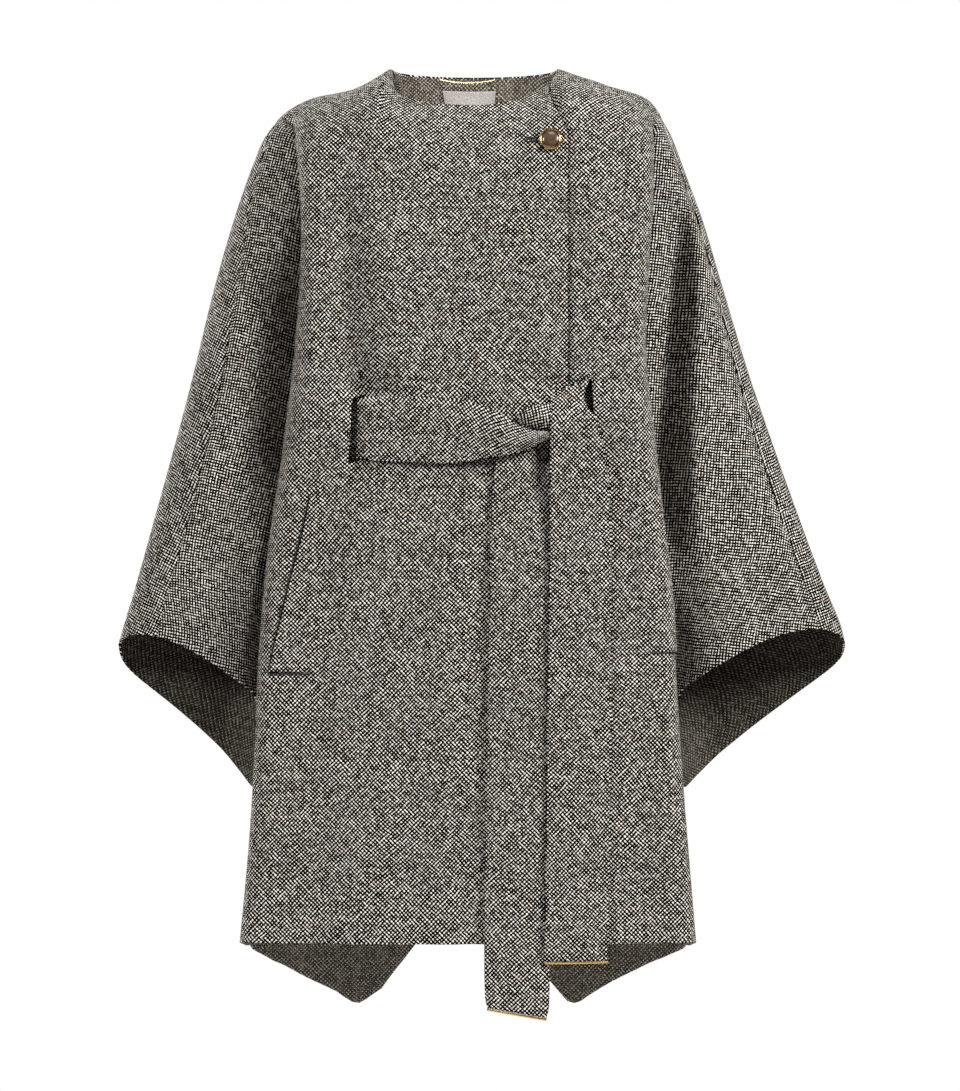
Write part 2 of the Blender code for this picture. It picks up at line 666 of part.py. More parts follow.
def inner_belt_path():
    """Points of the belt inside the body, from the right slit round the back to the left slit."""
    corners = (
        (RIGHT, -INNER_BELT_FRONT, math.pi / 2),
        (RIGHT, INNER_BELT_BACK, 0.0),
        (LEFT, INNER_BELT_BACK, -math.pi / 2),
        (LEFT, -INNER_BELT_FRONT, math.pi),
    )
    points = [(RIGHT * INNER_BELT_START[RIGHT], -INNER_BELT_SLIT)]
    for side, y, start in corners:
        middle_x = side * (INNER_BELT_HALF[side] - INNER_BELT_CORNER)
        middle_y = y - math.copysign(INNER_BELT_CORNER, y)
        for k in range(INNER_BELT_CORNER_STEPS + 1):
            turn = start - math.pi / 2 * k / INNER_BELT_CORNER_STEPS
            x = middle_x - INNER_BELT_CORNER * math.cos(turn)
            points.append((x, middle_y - INNER_BELT_CORNER * math.sin(turn)))
    return points + [(LEFT * INNER_BELT_START[LEFT], -INNER_BELT_SLIT)]


def make_belt(tweed, brass):
    make_band("belt_band", BAND, tweed)
    make_band("belt_loop", LOOP, tweed)
    make_band("belt_return", RETURN, tweed)
    make_tail("long", TAIL_LONG, tweed, brass)
    make_tail("short", TAIL_SHORT, tweed, brass)
    cloth(
        "belt_back",
        inner_belt_path(),
        [INNER_BELT_TOP] + steps(INNER_BELT_TOP, INNER_BELT_LOW, 2),
        lambda spot, z: Vector((*spot, z)),
        tweed,
        wall=BELT_WALL,
    )


def make_button(brass, horn):
    normal = panel_normal(FRONT, BUTTON_ACROSS, BUTTON_ROW)
    frame = normal.to_track_quat("Z", "Y").to_matrix().to_4x4()
    frame.translation = moved_out(FRONT, BUTTON_ACROSS, BUTTON_ROW, BUTTON_GAP)
    turned_part("button_rim", BUTTON_RIM, frame, brass)
    turned_part("button_face", BUTTON_FACE, frame, horn)


def make_neck_trim(brass, ribbon):
    """The hanger and the bare label on the inside of the back neck."""
    points = []
    for k in range(HANGER_STEPS + 1):
        share = k / HANGER_STEPS
        bow = math.sin(math.pi * share)
        inset = WALL + NECK_GAP + HANGER_RADIUS + HANGER_BOW * bow
        across = HANGER_ENDS[0] + (HANGER_ENDS[1] - HANGER_ENDS[0]) * share
        points.append(moved_out(BACK, across, HANGER_ROW, -inset) - Vector((0, 0, HANGER_SAG * bow)))
    rod("hanger", points, HANGER_RADIUS, brass)
    columns = [LABEL_ENDS[0]] + steps(*LABEL_ENDS, LABEL_ACROSS_STEPS)
    rows = [LABEL_ROWS[0]] + steps(*LABEL_ROWS, LABEL_DOWN_STEPS)

    def label_point(across, row):
        return moved_out(BACK, across, row, -WALL - NECK_GAP)

    cloth("label", columns, rows, label_point, ribbon, wall=LABEL_WALL)


def build():
    for obj in list(bpy.data.objects):
        bpy.data.objects.remove(obj, do_unlink=True)
    garment = bpy.data.collections.new(NAME)
    bpy.context.scene.collection.children.link(garment)
    garment.objects.link(bpy.data.objects.new("held_at_neck", None))
    tweed = material("tweed", (0.17, 0.16, 0.14), 0.95)
    make_fronts(tweed)
    make_back(tweed)
    for side in (RIGHT, LEFT):
        make_wing(side, tweed)
    brass = material("brass", (0.62, 0.42, 0.16), 0.30, 1.0)
    horn = material("horn", (0.16, 0.11, 0.09), 0.20)
    ribbon = material("ribbon", (0.62, 0.59, 0.55), 0.70)
    make_welts(tweed)
    make_belt(tweed, brass)
    make_button(brass, horn)
    make_neck_trim(brass, ribbon)


build()
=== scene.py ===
"""Dresses the solids of a belted wrap cape: tweed cloth, belt, trim, light and camera.

Metres, +Z up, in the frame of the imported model. The front faces -Y, so the wearer's right is at -X.
"""

import bisect
import math
from collections import namedtuple

import bmesh
import bpy
from bpy.props import FloatProperty, FloatVectorProperty, IntProperty, PointerProperty
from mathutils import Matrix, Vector, noise


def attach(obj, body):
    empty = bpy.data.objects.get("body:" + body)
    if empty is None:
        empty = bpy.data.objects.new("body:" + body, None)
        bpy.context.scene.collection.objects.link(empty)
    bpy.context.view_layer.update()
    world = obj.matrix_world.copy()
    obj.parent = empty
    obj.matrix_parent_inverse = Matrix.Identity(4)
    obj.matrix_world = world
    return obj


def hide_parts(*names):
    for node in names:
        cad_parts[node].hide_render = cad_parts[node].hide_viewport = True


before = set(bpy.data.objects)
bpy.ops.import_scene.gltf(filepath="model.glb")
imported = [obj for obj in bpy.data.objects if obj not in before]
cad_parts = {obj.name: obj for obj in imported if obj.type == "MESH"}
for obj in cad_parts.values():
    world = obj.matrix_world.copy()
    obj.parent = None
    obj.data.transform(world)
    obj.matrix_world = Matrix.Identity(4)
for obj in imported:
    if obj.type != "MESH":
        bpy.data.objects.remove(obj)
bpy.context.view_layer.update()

bl_info = {
    "name": "Tweed Cape",
    "version": (1, 0, 0),
    "blender": (4, 5, 0),
    "location": "View3D > Sidebar > Cape",
    "description": "Dresses the solids of a belted wrap cape with cloth, trim, light and a camera",
    "category": "Object",
}

CARRIER = "root"
GRAIN = "Grain"
PHOTO_HEIGHT = 1091

RIGHT, LEFT = -1, 1
FRONT, BACK = -1, 1


def table(columns, *rows):
    """Rows of values with named columns."""
    row = namedtuple("Row", columns)
    return [row(*values) for values in rows]


# Cloth and seams
WALL = 0.0025
BELT_WALL = 0.0032
SEAM = 0.0003
SHOULDER_SEAM, SHOULDER_SEAM_END = 0.0004, 0.0010

# Neck and shoulders
NECK_HALF = 0.0855
NECK_DEPTH = 0.066
NECK_FALL = 0.044
NECK_FALL_POWER = {RIGHT: 0.5, LEFT: 1.1}
NECK_LEAN = {FRONT: math.radians(50), BACK: math.radians(55)}
SHOULDER_END = {RIGHT: 0.2045, LEFT: 0.195}
SHOULDER_DROP = 0.080

# Sections of the body: half widths at the folded side edges and depths from the middle, by height
BODY = table(
    "z right left front back",
    (-0.910, 0.2388, 0.2256, 0.100, 0.088),
    (-0.800, 0.2288, 0.2165, 0.099, 0.087),
    (-0.700, 0.2230, 0.2090, 0.098, 0.086),
    (-0.600, 0.2187, 0.2030, 0.098, 0.086),
    (-0.500, 0.2095, 0.1953, 0.098, 0.087),
    (-0.400, 0.1960, 0.1850, 0.098, 0.088),
    (-0.300, 0.1840, 0.1745, 0.098, 0.088),
    (-0.200, 0.1765, 0.1780, 0.096, 0.087),
    (-0.140, 0.1770, 0.1820, 0.093, 0.084),
    (-0.082, 0.1860, 0.1870, 0.088, 0.080),
)
BOW = {FRONT: 0.020, BACK: 0.014}
MIDDLE = 0.100
CORNER = {FRONT: 0.032, BACK: 0.024}
FLAT_END, CORNER_END, SEAM_END = 1.5, 1.8, 2.0

# Shoulder line from the neck point to the armhole, by its share. Its end is rounder than the solid's
SHOULDER = table(
    "share right left",
    (0.00, 0.0000, 0.0000),
    (0.17, -0.0123, -0.0065),
    (0.33, -0.0210, -0.0120),
    (0.50, -0.0257, -0.0185),
    (0.67, -0.0295, -0.0235),
    (0.83, -0.0365, -0.0290),
    (0.92, -0.0424, -0.0352),
    (1.00, -0.0500, -0.0468),
)

# Armhole and side seams
SEAM_DEPTH = 0.045
SEAM_TUCK = 0.008
SIDE_TUCK = 0.001
UNDERARM = -0.735
UNDERARM_BEND = -0.560

# Hems
FRONT_HEM = -0.906
SIDE_HEM = -0.918
SIDE_HEM_START = 1.65
BACK_HEM = table(
    "across right left",
    (0.00, -0.868, -0.868),
    (0.30, -0.886, -0.902),
    (0.63, -0.928, -0.944),
    (0.76, -0.945, -0.962),
    (0.93, -0.967, -0.983),
    (1.04, -0.983, -0.993),
    (1.12, -0.993, -0.984),
    (1.22, -0.979, -0.971),
    (1.35, -0.963, -0.956),
    (1.50, -0.944, -0.941),
    (1.80, -0.927, -0.926),
    (2.00, SIDE_HEM, SIDE_HEM),
)
FLUTE = 0.014
FLUTE_SPAN = 0.116
FLUTE_TOP, FLUTE_FULL = -0.300, -0.950

# Wrap: how far across the over front reaches, at the neckline and below its slanted corner
WRAP_NECK = 0.714
WRAP_EDGE = 0.955
WRAP_CORNER = 0.90

# Wing sleeves: outer fold and depths, by the height on the armhole seam that each section starts from
WING = table(
    "seam_z out_z right left front back",
    (-0.735, -0.606, 0.3735, 0.3890, 0.056, 0.052),
    (-0.690, -0.585, 0.3675, 0.3835, 0.058, 0.054),
    (-0.630, -0.545, 0.3556, 0.3672, 0.060, 0.056),
    (-0.520, -0.460, 0.3325, 0.3365, 0.060, 0.057),
    (-0.413, -0.370, 0.3080, 0.3050, 0.060, 0.057),
    (-0.347, -0.312, 0.2932, 0.2855, 0.059, 0.057),
    (-0.250, -0.228, 0.2727, 0.2602, 0.057, 0.056),
    (-0.171, -0.162, 0.2537, 0.2405, 0.054, 0.054),
    (-0.127, -0.122, 0.2405, 0.2260, 0.050, 0.050),
    (-0.087, -0.080, 0.2245, 0.2105, 0.042, 0.042),
)
WING_FULLNESS = 2.4
WING_TUCK = {FRONT: 0.014, BACK: 0.020}
OVERARM = table(
    "seam_z right left",
    (-0.735, 0.044, 0.031),
    (-0.520, 0.038, 0.022),
    (-0.300, 0.030, 0.012),
    (-0.200, 0.021, 0.008),
    (-0.127, 0.012, 0.007),
    (-0.087, 0.008, 0.006),
)
Cuff = namedtuple("Cuff", "lift rise slope")
CUFF = {
    (RIGHT, FRONT): Cuff(0.028, 0.075, 1.7),
    (RIGHT, BACK): Cuff(-0.053, -0.030, 1.7),
    (LEFT, FRONT): Cuff(0.036, 0.080, 1.7),
    (LEFT, BACK): Cuff(-0.044, -0.030, 1.45),
}
CUFF_TUCK = 0.005
CUFF_START = -0.420
WING_FRONT_CROWD, WING_BACK_CROWD = 1.4, 1.6

# Rows of the panels: the shoulder's round is 0 to 1, and the drop below it 1 to 2
UNDERARM_ROW = 1.768

# Belt slits. The left one is shorter than the solid's, and nearer the middle
SLIT_X = {RIGHT: 0.120, LEFT: 0.1165}
SLIT_ROWS = {RIGHT: (1.313, 1.395), LEFT: (1.297, 1.335)}
SLIT_WIDTH = 0.013
SLIT_Z = -0.380

# Belt on the front: each row is a cut across a stretch, with the lift of its underside from the front.
# The stretches sink further into the slits than the solids, and the tops of the two ends start higher
BAND_COLUMNS = "x top bottom lift puff"
BAND = table(
    BAND_COLUMNS,
    (-0.1380, -0.3490, -0.4090, -0.0130, 0.0000),
    (-0.1230, -0.3485, -0.4095, -0.0130, 0.0000),
    (-0.1175, -0.3480, -0.4105, -0.0040, 0.0000),
    (-0.1140, -0.3480, -0.4105, 0.0024, 0.0000),
    (-0.1000, -0.3480, -0.4125, 0.0008, 0.0000),
    (-0.0660, -0.3480, -0.4140, 0.0006, 0.0010),
    (-0.0190, -0.3510, -0.4150, 0.0014, 0.0025),
    (0.0120, -0.3590, -0.4100, 0.0046, 0.0040),
    (0.0350, -0.3710, -0.4070, 0.0060, 0.0060),
    (0.0570, -0.3815, -0.4005, 0.0062, 0.0070),
    (0.0740, -0.3830, -0.3915, 0.0050, 0.0030),
    (0.0820, -0.3840, -0.3890, 0.0044, 0.0000),
)
LOOP = table(
    BAND_COLUMNS,
    (0.0450, -0.3660, -0.3740, 0.0046, 0.0000),
    (0.0510, -0.3605, -0.3770, 0.0056, 0.0070),
    (0.0620, -0.3570, -0.3810, 0.0066, 0.0110),
    (0.0740, -0.3550, -0.3820, 0.0060, 0.0070),
    (0.0820, -0.3545, -0.3840, 0.0044, 0.0000),
)
RETURN = table(
    BAND_COLUMNS,
    (0.1000, -0.3580, -0.4000, 0.0006, 0.0000),
    (0.1070, -0.3500, -0.3800, 0.0010, 0.0000),
    (0.1130, -0.3400, -0.3640, -0.0110, 0.0000),
    (0.1400, -0.3400, -0.3640, -0.0150, 0.0000),
)
TAIL_COLUMNS = "drop left_x right_x slant left_lift right_lift"
TAIL_READ = TAIL_COLUMNS.split()[1:]
TAIL_LONG = table(
    TAIL_COLUMNS,
    (0.3900, 0.0240, 0.0795, 0.0000, 0.0006, 0.0002),
    (0.4410, 0.0191, 0.0795, 0.0000, 0.0008, 0.0008),
    (0.4920, 0.0170, 0.0792, 0.0000, 0.0008, 0.0008),
    (0.7000, 0.0130, 0.0782, 0.0000, 0.0008, 0.0008),
    (0.9000, 0.0099, 0.0770, -0.0060, 0.0008, 0.0008),
    (0.9600, 0.0107, 0.0762, -0.0100, 0.0008, 0.0008),
    (0.9700, 0.0130, 0.0735, -0.0105, 0.0008, 0.0008),
)
TAIL_SHORT = table(
    TAIL_COLUMNS,
    (0.3460, 0.0775, 0.1200, 0.0200, -0.0034, -0.0026),
    (0.3570, 0.0775, 0.1125, 0.0130, 0.0050, 0.0010),
    (0.3680, 0.0775, 0.1150, 0.0105, 0.0088, 0.0040),
    (0.3760, 0.0775, 0.1235, 0.0085, 0.0095, 0.0064),
    (0.4000, 0.0775, 0.1315, 0.0030, 0.0095, 0.0058),
    (0.4300, 0.0772, 0.1365, 0.0010, 0.0090, 0.0042),
    (0.4940, 0.0770, 0.1397, 0.0000, 0.0072, 0.0018),
    (0.7000, 0.0745, 0.1397, 0.0000, 0.0062, 0.0014),
    (0.9220, 0.0717, 0.1360, 0.0000, 0.0060, 0.0014),
)
BAR_RADIUS = 0.0014

# Belt inside the body: a level strip with rounded corners, between the two slits
INNER_BELT_TOP, INNER_BELT_LOW = -0.3485, -0.4105
INNER_BELT_HALF = {RIGHT: 0.172, LEFT: 0.162}
INNER_BELT_START = {RIGHT: 0.1390, LEFT: 0.1412}
INNER_BELT_FRONT, INNER_BELT_BACK = 0.1000, 0.0840
INNER_BELT_SLIT = 0.1030
INNER_BELT_CORNER, INNER_BELT_CORNER_STEPS = 0.014, 5
INNER_BELT_ROW, INNER_BELT_STEP = 0.006, 0.012

# Pocket welts: distance round the front from its middle, to the welt's inner edge
WELT = table(
    "z right left width",
    (-0.629, 0.1670, 0.1796, 0.0370),
    (-0.540, 0.1525, 0.1640, 0.0340),
    (-0.449, 0.1375, 0.1480, 0.0300),
)
WELT_RISE = {RIGHT: 0.0, LEFT: 0.021}
WELT_WALL = 0.0020

# Button, hanger and label
BUTTON_ACROSS, BUTTON_ROW = 0.779, 0.915
BUTTON_STEPS, BUTTON_GAP = 104, 0.0006
TURNED_COLUMNS = "radius height"
BUTTON_RIM = table(
    TURNED_COLUMNS,
    (0.0000, 0.0024),
    (0.0088, 0.0024),
    (0.0090, 0.0040),
    (0.0098, 0.0048),
    (0.0108, 0.0046),
    (0.0115, 0.0034),
    (0.0113, 0.0014),
    (0.0100, 0.0000),
    (0.0000, 0.0000),
)
BUTTON_FACE = table(
    TURNED_COLUMNS,
    (0.0000, 0.0058),
    (0.0030, 0.0057),
    (0.0060, 0.0053),
    (0.0079, 0.0046),
    (0.0085, 0.0037),
    (0.0084, 0.0027),
    (0.0000, 0.0027),
)
HANGER_ENDS, HANGER_ROW = (-0.300, 0.168), 0.0
HANGER_SAG, HANGER_BOW = 0.0018, 0.0020
HANGER_RADIUS = 0.0011
LABEL_ENDS, LABEL_ROWS = (-0.290, 0.190), (0.165, 0.552)
LABEL_WALL = 0.0010
NECK_GAP = 0.0012

# How finely the cloth is laid, how the grain of the wings is turned, and the rounded edges
ROUND_STEP = 0.05
ACROSS_METRES = 0.16
CAP_ROW, WING_ROW = 0.5, 2 / 3
HEAD_STEPS = 7
WING_FRONT_STEPS, WING_BACK_STEPS = 34, 60
FOLD_SHARE = 0.28
WING_BIAS = {RIGHT: math.radians(57), LEFT: math.radians(51)}
FOLD_BIAS = {RIGHT: math.radians(70), LEFT: math.radians(28)}
EDGE_SHARE, EDGE_STEPS, EDGE_ANGLE = 0.4, 2, math.radians(50)
GRAIN_FOLLOW = 0.2

# Overarm seam: its ditch, and how often its ripples and its depth change, to a row
SEAM_ROLL, SEAM_SINK = 0.03, {RIGHT: 0.0011, LEFT: 0.0020}
PUCKER_RATE, SINK_RATE, SINK_LAYER, SINK_VARIES = 90.0, 130.0, 5.0, 0.9

# Wrap: how far the under front lies below the over one, and how soon it comes up beside its edge
LAP_EASE, LAP_RISE = 0.0004, 0.13
LAP_DITCH, LAP_STEEP, LAP_DITCH_ROWS = 0.0020, 0.06, (0.35, 0.60)

# Grain at the neckline: how far its slope counts in the middle of a panel, and where all of it does
NECK_EASE, NECK_EASE_SPAN = 0.35, (0.5, 1.40)

# Pocket welts: how far their two long edges stand off the front, and the painted shadow lines beside them
WELT_FLUSH, WELT_PROUD, WELT_STEPS = 0.0004, 0.0030, 8
WELT_SHADOW_LINE, WELT_SHADOW_LINE_START, WELT_SHADOW_LINE_ROUND = 0.0015, 0.9, 0.01

# Knot and belt ends: the belt's turned edge, the pleats that run out of the knot, and the ends' ripples
KNOT_FOLD = table(
    "x z",
    (-0.0074, -0.4102),
    (0.0119, -0.3997),
    (0.0309, -0.3884),
    (0.0422, -0.3786),
    (0.0516, -0.3780),
    (0.0628, -0.3796),
    (0.0761, -0.3817),
)
KNOT_FOLD_HEIGHT, KNOT_FOLD_FULL, KNOT_FOLD_EDGE = 0.0040, 0.012, (-0.0005, 0.0030)
KNOT_HOLLOW, KNOT_HOLLOW_SHARE = 0.0026, 0.7
KNOT_X, KNOT_Z = 0.078, -0.381
GATHER_HEIGHT, GATHER_COUNT = 0.0010, 9
GATHER_START, GATHER_END = (0.002, 0.012), (0.02, 0.05)
BELT_GATHER = 0.30
TAIL_GATHER, BAND_HANG = 1.4, 0.0016
LOOP_BIAS = math.radians(36)
PIT_X, PIT_Z, PIT_WIDTH, PIT_HEIGHT, PIT_DEPTH = 0.073, -0.412, 0.010, 0.022, 0.010
BELT_STEP, BELT_ACROSS_STEPS = 0.004, 14
TAIL_RIPPLE, TAIL_RIPPLE_COUNT, TAIL_RIPPLE_CROWD = 0.0012, 3, 1.3
TAIL_RIPPLE_TOP, TAIL_RIPPLE_END = 0.40, 0.50
TAIL_BOW, TAIL_SWAY = 0.0006, 0.4
CAVITY, CAVITY_DROP, CAVITY_SPAN = 0.0055, 0.420, 0.040

# Button and buttonhole
BUTTON_ROUNDING, BUTTON_CORE = 4, 0.0003
RIM_NOTCH_START, RIM_NOTCH_FULL = 0.0104, 0.0112
NOTCH_DEPTH, NOTCH_SHARP, NOTCH_FALL = 0.0004, 3, 0.6
GROOVE_RADIUS, GROOVE_WIDTH, GROOVE_DEPTH, GROOVE_LOW = 0.0102, 0.0004, 0.0011, 0.003
HOLE_START, HOLE_END, HOLE_Z = 0.0534, 0.0673, -0.0841
HOLE_ROW, HOLE_CORRECTIONS = 0.9, 30
HOLE_EYELET, HOLE_SLOT, HOLE_BITE, HOLE_LIFT = 0.0027, 0.0018, 0.0006, 0.0006
HOLE_STEPS, HOLE_MOUTH, HOLE_STITCHES, HOLE_THREAD = 14, 0.22, 9, 0.0009

# Hanger chain and label
LINK_STEPS, LINK_WAIST, LINK_SHARP, HANGER_SIDES = 6, 0.04, 8, 12
LABEL_STEP, LABEL_ROW = 0.02, 0.03
LABEL_SLACK, LABEL_FLAT, LABEL_SAG = 0.0006, 0.6, 0.4
LABEL_STITCHES, LABEL_THREAD, LABEL_MARGIN = 5, 0.00022, 0.02
STITCH_START, STITCH_SHARE, STITCH_LIFT = 0.3, 0.5, 0.0001
ROD_ROUNDING = 2

# Soft folds on the fronts, the back and the wings: each runs along a path of places, x and z, and the cloth
# dips along it. A row with a negative depth is a ridge.
CREASE_COLUMNS = "width depth path"
CREASES = {
    FRONT: table(
        CREASE_COLUMNS,
        (0.012, 0.0055, ((-0.128, -0.322), (-0.100, -0.342), (-0.066, -0.346))),
        (0.013, 0.0060, ((-0.118, -0.315), (-0.118, -0.445))),
        (0.022, 0.0120, ((-0.140, -0.110), (-0.135, -0.250), (-0.118, -0.385))),
        (0.032, -0.0085, ((-0.094, -0.130), (-0.086, -0.260), (-0.070, -0.400))),
        (0.020, 0.0022, ((0.010, -0.225), (0.072, -0.365))),
        (0.018, -0.0020, ((-0.050, -0.285), (0.050, -0.365))),
        (0.016, -0.0065, ((0.122, -0.090), (0.127, -0.220), (0.108, -0.370))),
        (0.016, 0.0028, ((-0.145, -0.390), (-0.165, -0.600))),
        (0.030, -0.0032, ((-0.106, -0.380), (-0.118, -1.050))),
        (0.022, 0.0030, ((-0.060, -0.460), (-0.062, -1.050))),
        (0.016, 0.0055, ((0.008, -0.390), (0.000, -0.700), (-0.006, -1.120))),
        (0.020, 0.0030, ((-0.160, -0.560), (-0.174, -1.050))),
        (0.014, 0.0026, ((0.152, -0.370), (0.162, -0.670))),
        (0.018, 0.0034, ((0.160, -0.600), (0.174, -1.050))),
    ),
    BACK: table(
        CREASE_COLUMNS,
        (0.022, 0.0048, ((-0.050, -0.090), (-0.090, -0.720))),
        (0.020, 0.0040, ((0.056, -0.120), (0.084, -0.660))),
        (0.026, -0.0040, ((-0.124, -0.160), (-0.156, -0.960))),
        (0.024, -0.0042, ((0.120, -0.200), (0.144, -1.000))),
        (0.030, 0.0050, ((0.000, -0.300), (0.008, -1.050))),
        (0.018, 0.0036, ((-0.160, -0.400), (-0.178, -1.050))),
        (0.020, 0.0034, ((0.156, -0.420), (0.168, -1.080))),
    ),
}
WING_CREASES = {
    (RIGHT, FRONT): table(
        CREASE_COLUMNS,
        (0.018, 0.0120, ((-0.184, -0.180), (-0.196, -0.320), (-0.206, -0.460))),
        (0.024, -0.0110, ((-0.200, -0.050), (-0.200, -0.250))),
        (0.026, -0.0150, ((-0.206, -0.420), (-0.236, -0.740))),
        (0.022, -0.0040, ((-0.230, -0.180), (-0.262, -0.400), (-0.310, -0.660))),
        (0.020, 0.0030, ((-0.255, -0.420), (-0.325, -0.680))),
    ),
    (LEFT, FRONT): table(
        CREASE_COLUMNS,
        (0.017, 0.0340, ((0.216, -0.080), (0.211, -0.230), (0.200, -0.400), (0.191, -0.570))),
        (0.016, -0.0070, ((0.222, -0.080), (0.236, -0.250), (0.232, -0.400), (0.242, -0.600))),
        (0.020, 0.0030, ((0.275, -0.420), (0.335, -0.680))),
    ),
    (RIGHT, BACK): table(
        CREASE_COLUMNS,
        (0.018, 0.0055, ((-0.212, -0.090), (-0.258, -0.520))),
        (0.022, 0.0060, ((-0.245, -0.260), (-0.312, -0.740))),
        (0.018, -0.0045, ((-0.232, -0.420), (-0.270, -0.820))),
    ),
    (LEFT, BACK): table(
        CREASE_COLUMNS,
        (0.018, 0.0055, ((0.207, -0.080), (0.256, -0.480))),
        (0.022, 0.0060, ((0.240, -0.270), (0.330, -0.720))),
        (0.018, -0.0045, ((0.224, -0.440), (0.260, -0.800))),
    ),
}
CREASE_TOP, CREASE_FULL = -0.070, -0.150
CREASE_MARGIN, CREASE_FADE, CREASE_REACH = 0.022, 0.28, 3

# Creases of the wings fade towards the seam, the outer fold and the sleeve head
WING_SEAM_MARGIN, WING_FOLD_MARGIN, WING_HEAD_MARGIN = (0.0, 0.14), (0.78, 0.98), (-0.10, -0.17)

# Uneven hang: each layer of cloth has its own, drawn out down its length
HANG_LAYER = {"body": 3.0, "wing": 7.0, "tail": 11.0}
HANG_STRETCH = {"body": 0.6, "wing": 0.6, "tail": 0.4}
WING_SWAY = 1.6

# Fold at the front armhole: how far the seam is drawn in, how wide the fold is on the wing, where down
# the seam it grows and wanes, and how much of it is left below
HOLLOW = {RIGHT: 0.042, LEFT: 0.010}
HOLLOW_WIDTH = 0.022
HOLLOW_TOP, HOLLOW_FULL, HOLLOW_WANE, HOLLOW_LOW = -0.150, -0.300, -0.400, -0.520
HOLLOW_REST = 0.12
UNDERARM_TUCK, UNDERARM_TUCK_SPAN = 0.008, (-0.600, -0.670)

# Side folds of the fronts are squarer than the solids' round corners
CORNER_SQUARE = 0.0072

# Tweed: swells to the metre of each unevenness, and what each random number of a yarn or a check is for
WARP_SCALES, WEFT_SCALES = (70.0, 11.0), (95.0, 9.0)
STREAK_SCALE, UNEVEN_SCALE, FIBRE_SCALE = 150.0, 210.0, 900.0
SEEDS = {"width": 1.0, "weft": 2.0, "pale": 3.0, "warp": 4.0, "dark": 5.0, "hue": 6.0, "fleck": 7.0}

# Tweed: how plainly the checks show on each face, how far the tones of yarns and flecks go, and how dark
# the painted shade in the hollows between the yarns is
CHECK_EDGE, CLEAR = 0.08, {"tweed": 1.0, "tweed_inside": 0.5, "wing_inside": 0.6}
WEFT_SHARE, GREYED, GREYED_RISE = 0.45, 0.66, (0.35, 0.95)
WARP_SHARE, RAISED, RAISED_RISE = 0.5, 3.0, (0.45, 0.95)
TAN, OLIVE, HUE_RISE, FLECK_EDGE = (0.80, 0.66, 0.56), (0.66, 0.63, 0.50), (0.45, 0.55), 0.0001
YARN_SHADE, YARN_SHADE_END, YARN_ROUND, FIBRE_SHARE = 0.20, 0.55, 0.9, 0.35
NAP_TONE = (0.9, 0.82, 0.68, 1.0)

# Trim: swells to the metre of each unevenness, where it shows and how far it goes
TARNISH_SCALE, TARNISH_RISE, TARNISH_SHARE, TARNISH_ROUGH = 420.0, (0.52, 0.80), 0.55, 0.16
SCRATCH_SCALE, SCRATCH_DEPTH = 2600.0, 0.00004
BRASS_ROUGH, GOLD_ROUGH = 0.20, 0.24
HORN_SCALE, HORN_RISE, HORN_TONES = 260.0, (0.35, 0.75), (0.75, 1.45)
HORN_ROUGH, HORN_STREAK_ROUGH = 0.22, 0.10
RIBBON_PITCH, RIBBON_DEPTH, RIBBON_TONES = 0.0005, 0.00012, (0.88, 1.06)
RIBBON_SCALE, RIBBON_DIM, RIBBON_PATCH = 180.0, 0.94, 0.12
THREAD_SCALE, THREAD_DEPTH, THREAD_PALE = 1800.0, 0.0002, 3.0

# Light and camera. Each lamp points at the middle of the picture, but the neck's at the back neck
LAMPS = table(
    "name place size",
    ("key", (3.2, -2.5, 1.9), 1.6),
    ("fill", (-3.0, -2.6, 1.3), 0.9),
    ("top", (0.3, -1.7, 2.3), 1.2),
    ("rear", (-2.7, 2.6, 0.9), 1.4),
    ("neck", (0.0, -0.020, -0.090), 0.06),
)
NECK_AIM = (0.0, 0.066, -0.015)
WHITE, SKY_TONE = (1.0, 1.0, 1.0, 1.0), (1.0, 0.985, 0.96, 1.0)
FLOOR_TONES, FLOOR_SCALE, FLOOR_SIDES = ((0.66, 0.655, 0.65), (0.70, 0.695, 0.69)), 3.0, 96
SENSOR = 36.0


def length(name, description, default, low=0.0):
    return FloatProperty(name=name, description=description, default=default, min=low, unit="LENGTH")


def portion(name, description, default):
    return FloatProperty(name=name, description=description, default=default, min=0.0, subtype="FACTOR")


def number(name, description, default):
    return FloatProperty(name=name, description=description, default=default, min=0.0, subtype="UNSIGNED")


def whole_number(name, description, default, low):
    return IntProperty(name=name, description=description, default=default, min=low, subtype="UNSIGNED")


def power(name, description, default):
    return FloatProperty(name=name, description=description, default=default, min=0.0, unit="POWER")


def colour(name, description, default):
    return FloatVectorProperty(
        name=name, description=description, default=default, size=3, min=0.0, max=1.0, subtype="COLOR"
    )


class ClothSettings(bpy.types.PropertyGroup):
    """How finely the cloth is laid, and how it hangs."""

    step: length("Step", "Longest side of a cell of the cloth", 0.006, 0.002)
    edge: length("Edge", "Radius of the rounded cloth edges", 0.0009)
    sway: length("Sway", "How far the cloth swells and sinks between its creases", 0.0011)
    sway_span: length("Sway span", "Distance from one swell to the next", 0.075, 0.01)
    pucker: length("Pucker", "Height of the small ripples along the overarm seam", 0.0007)


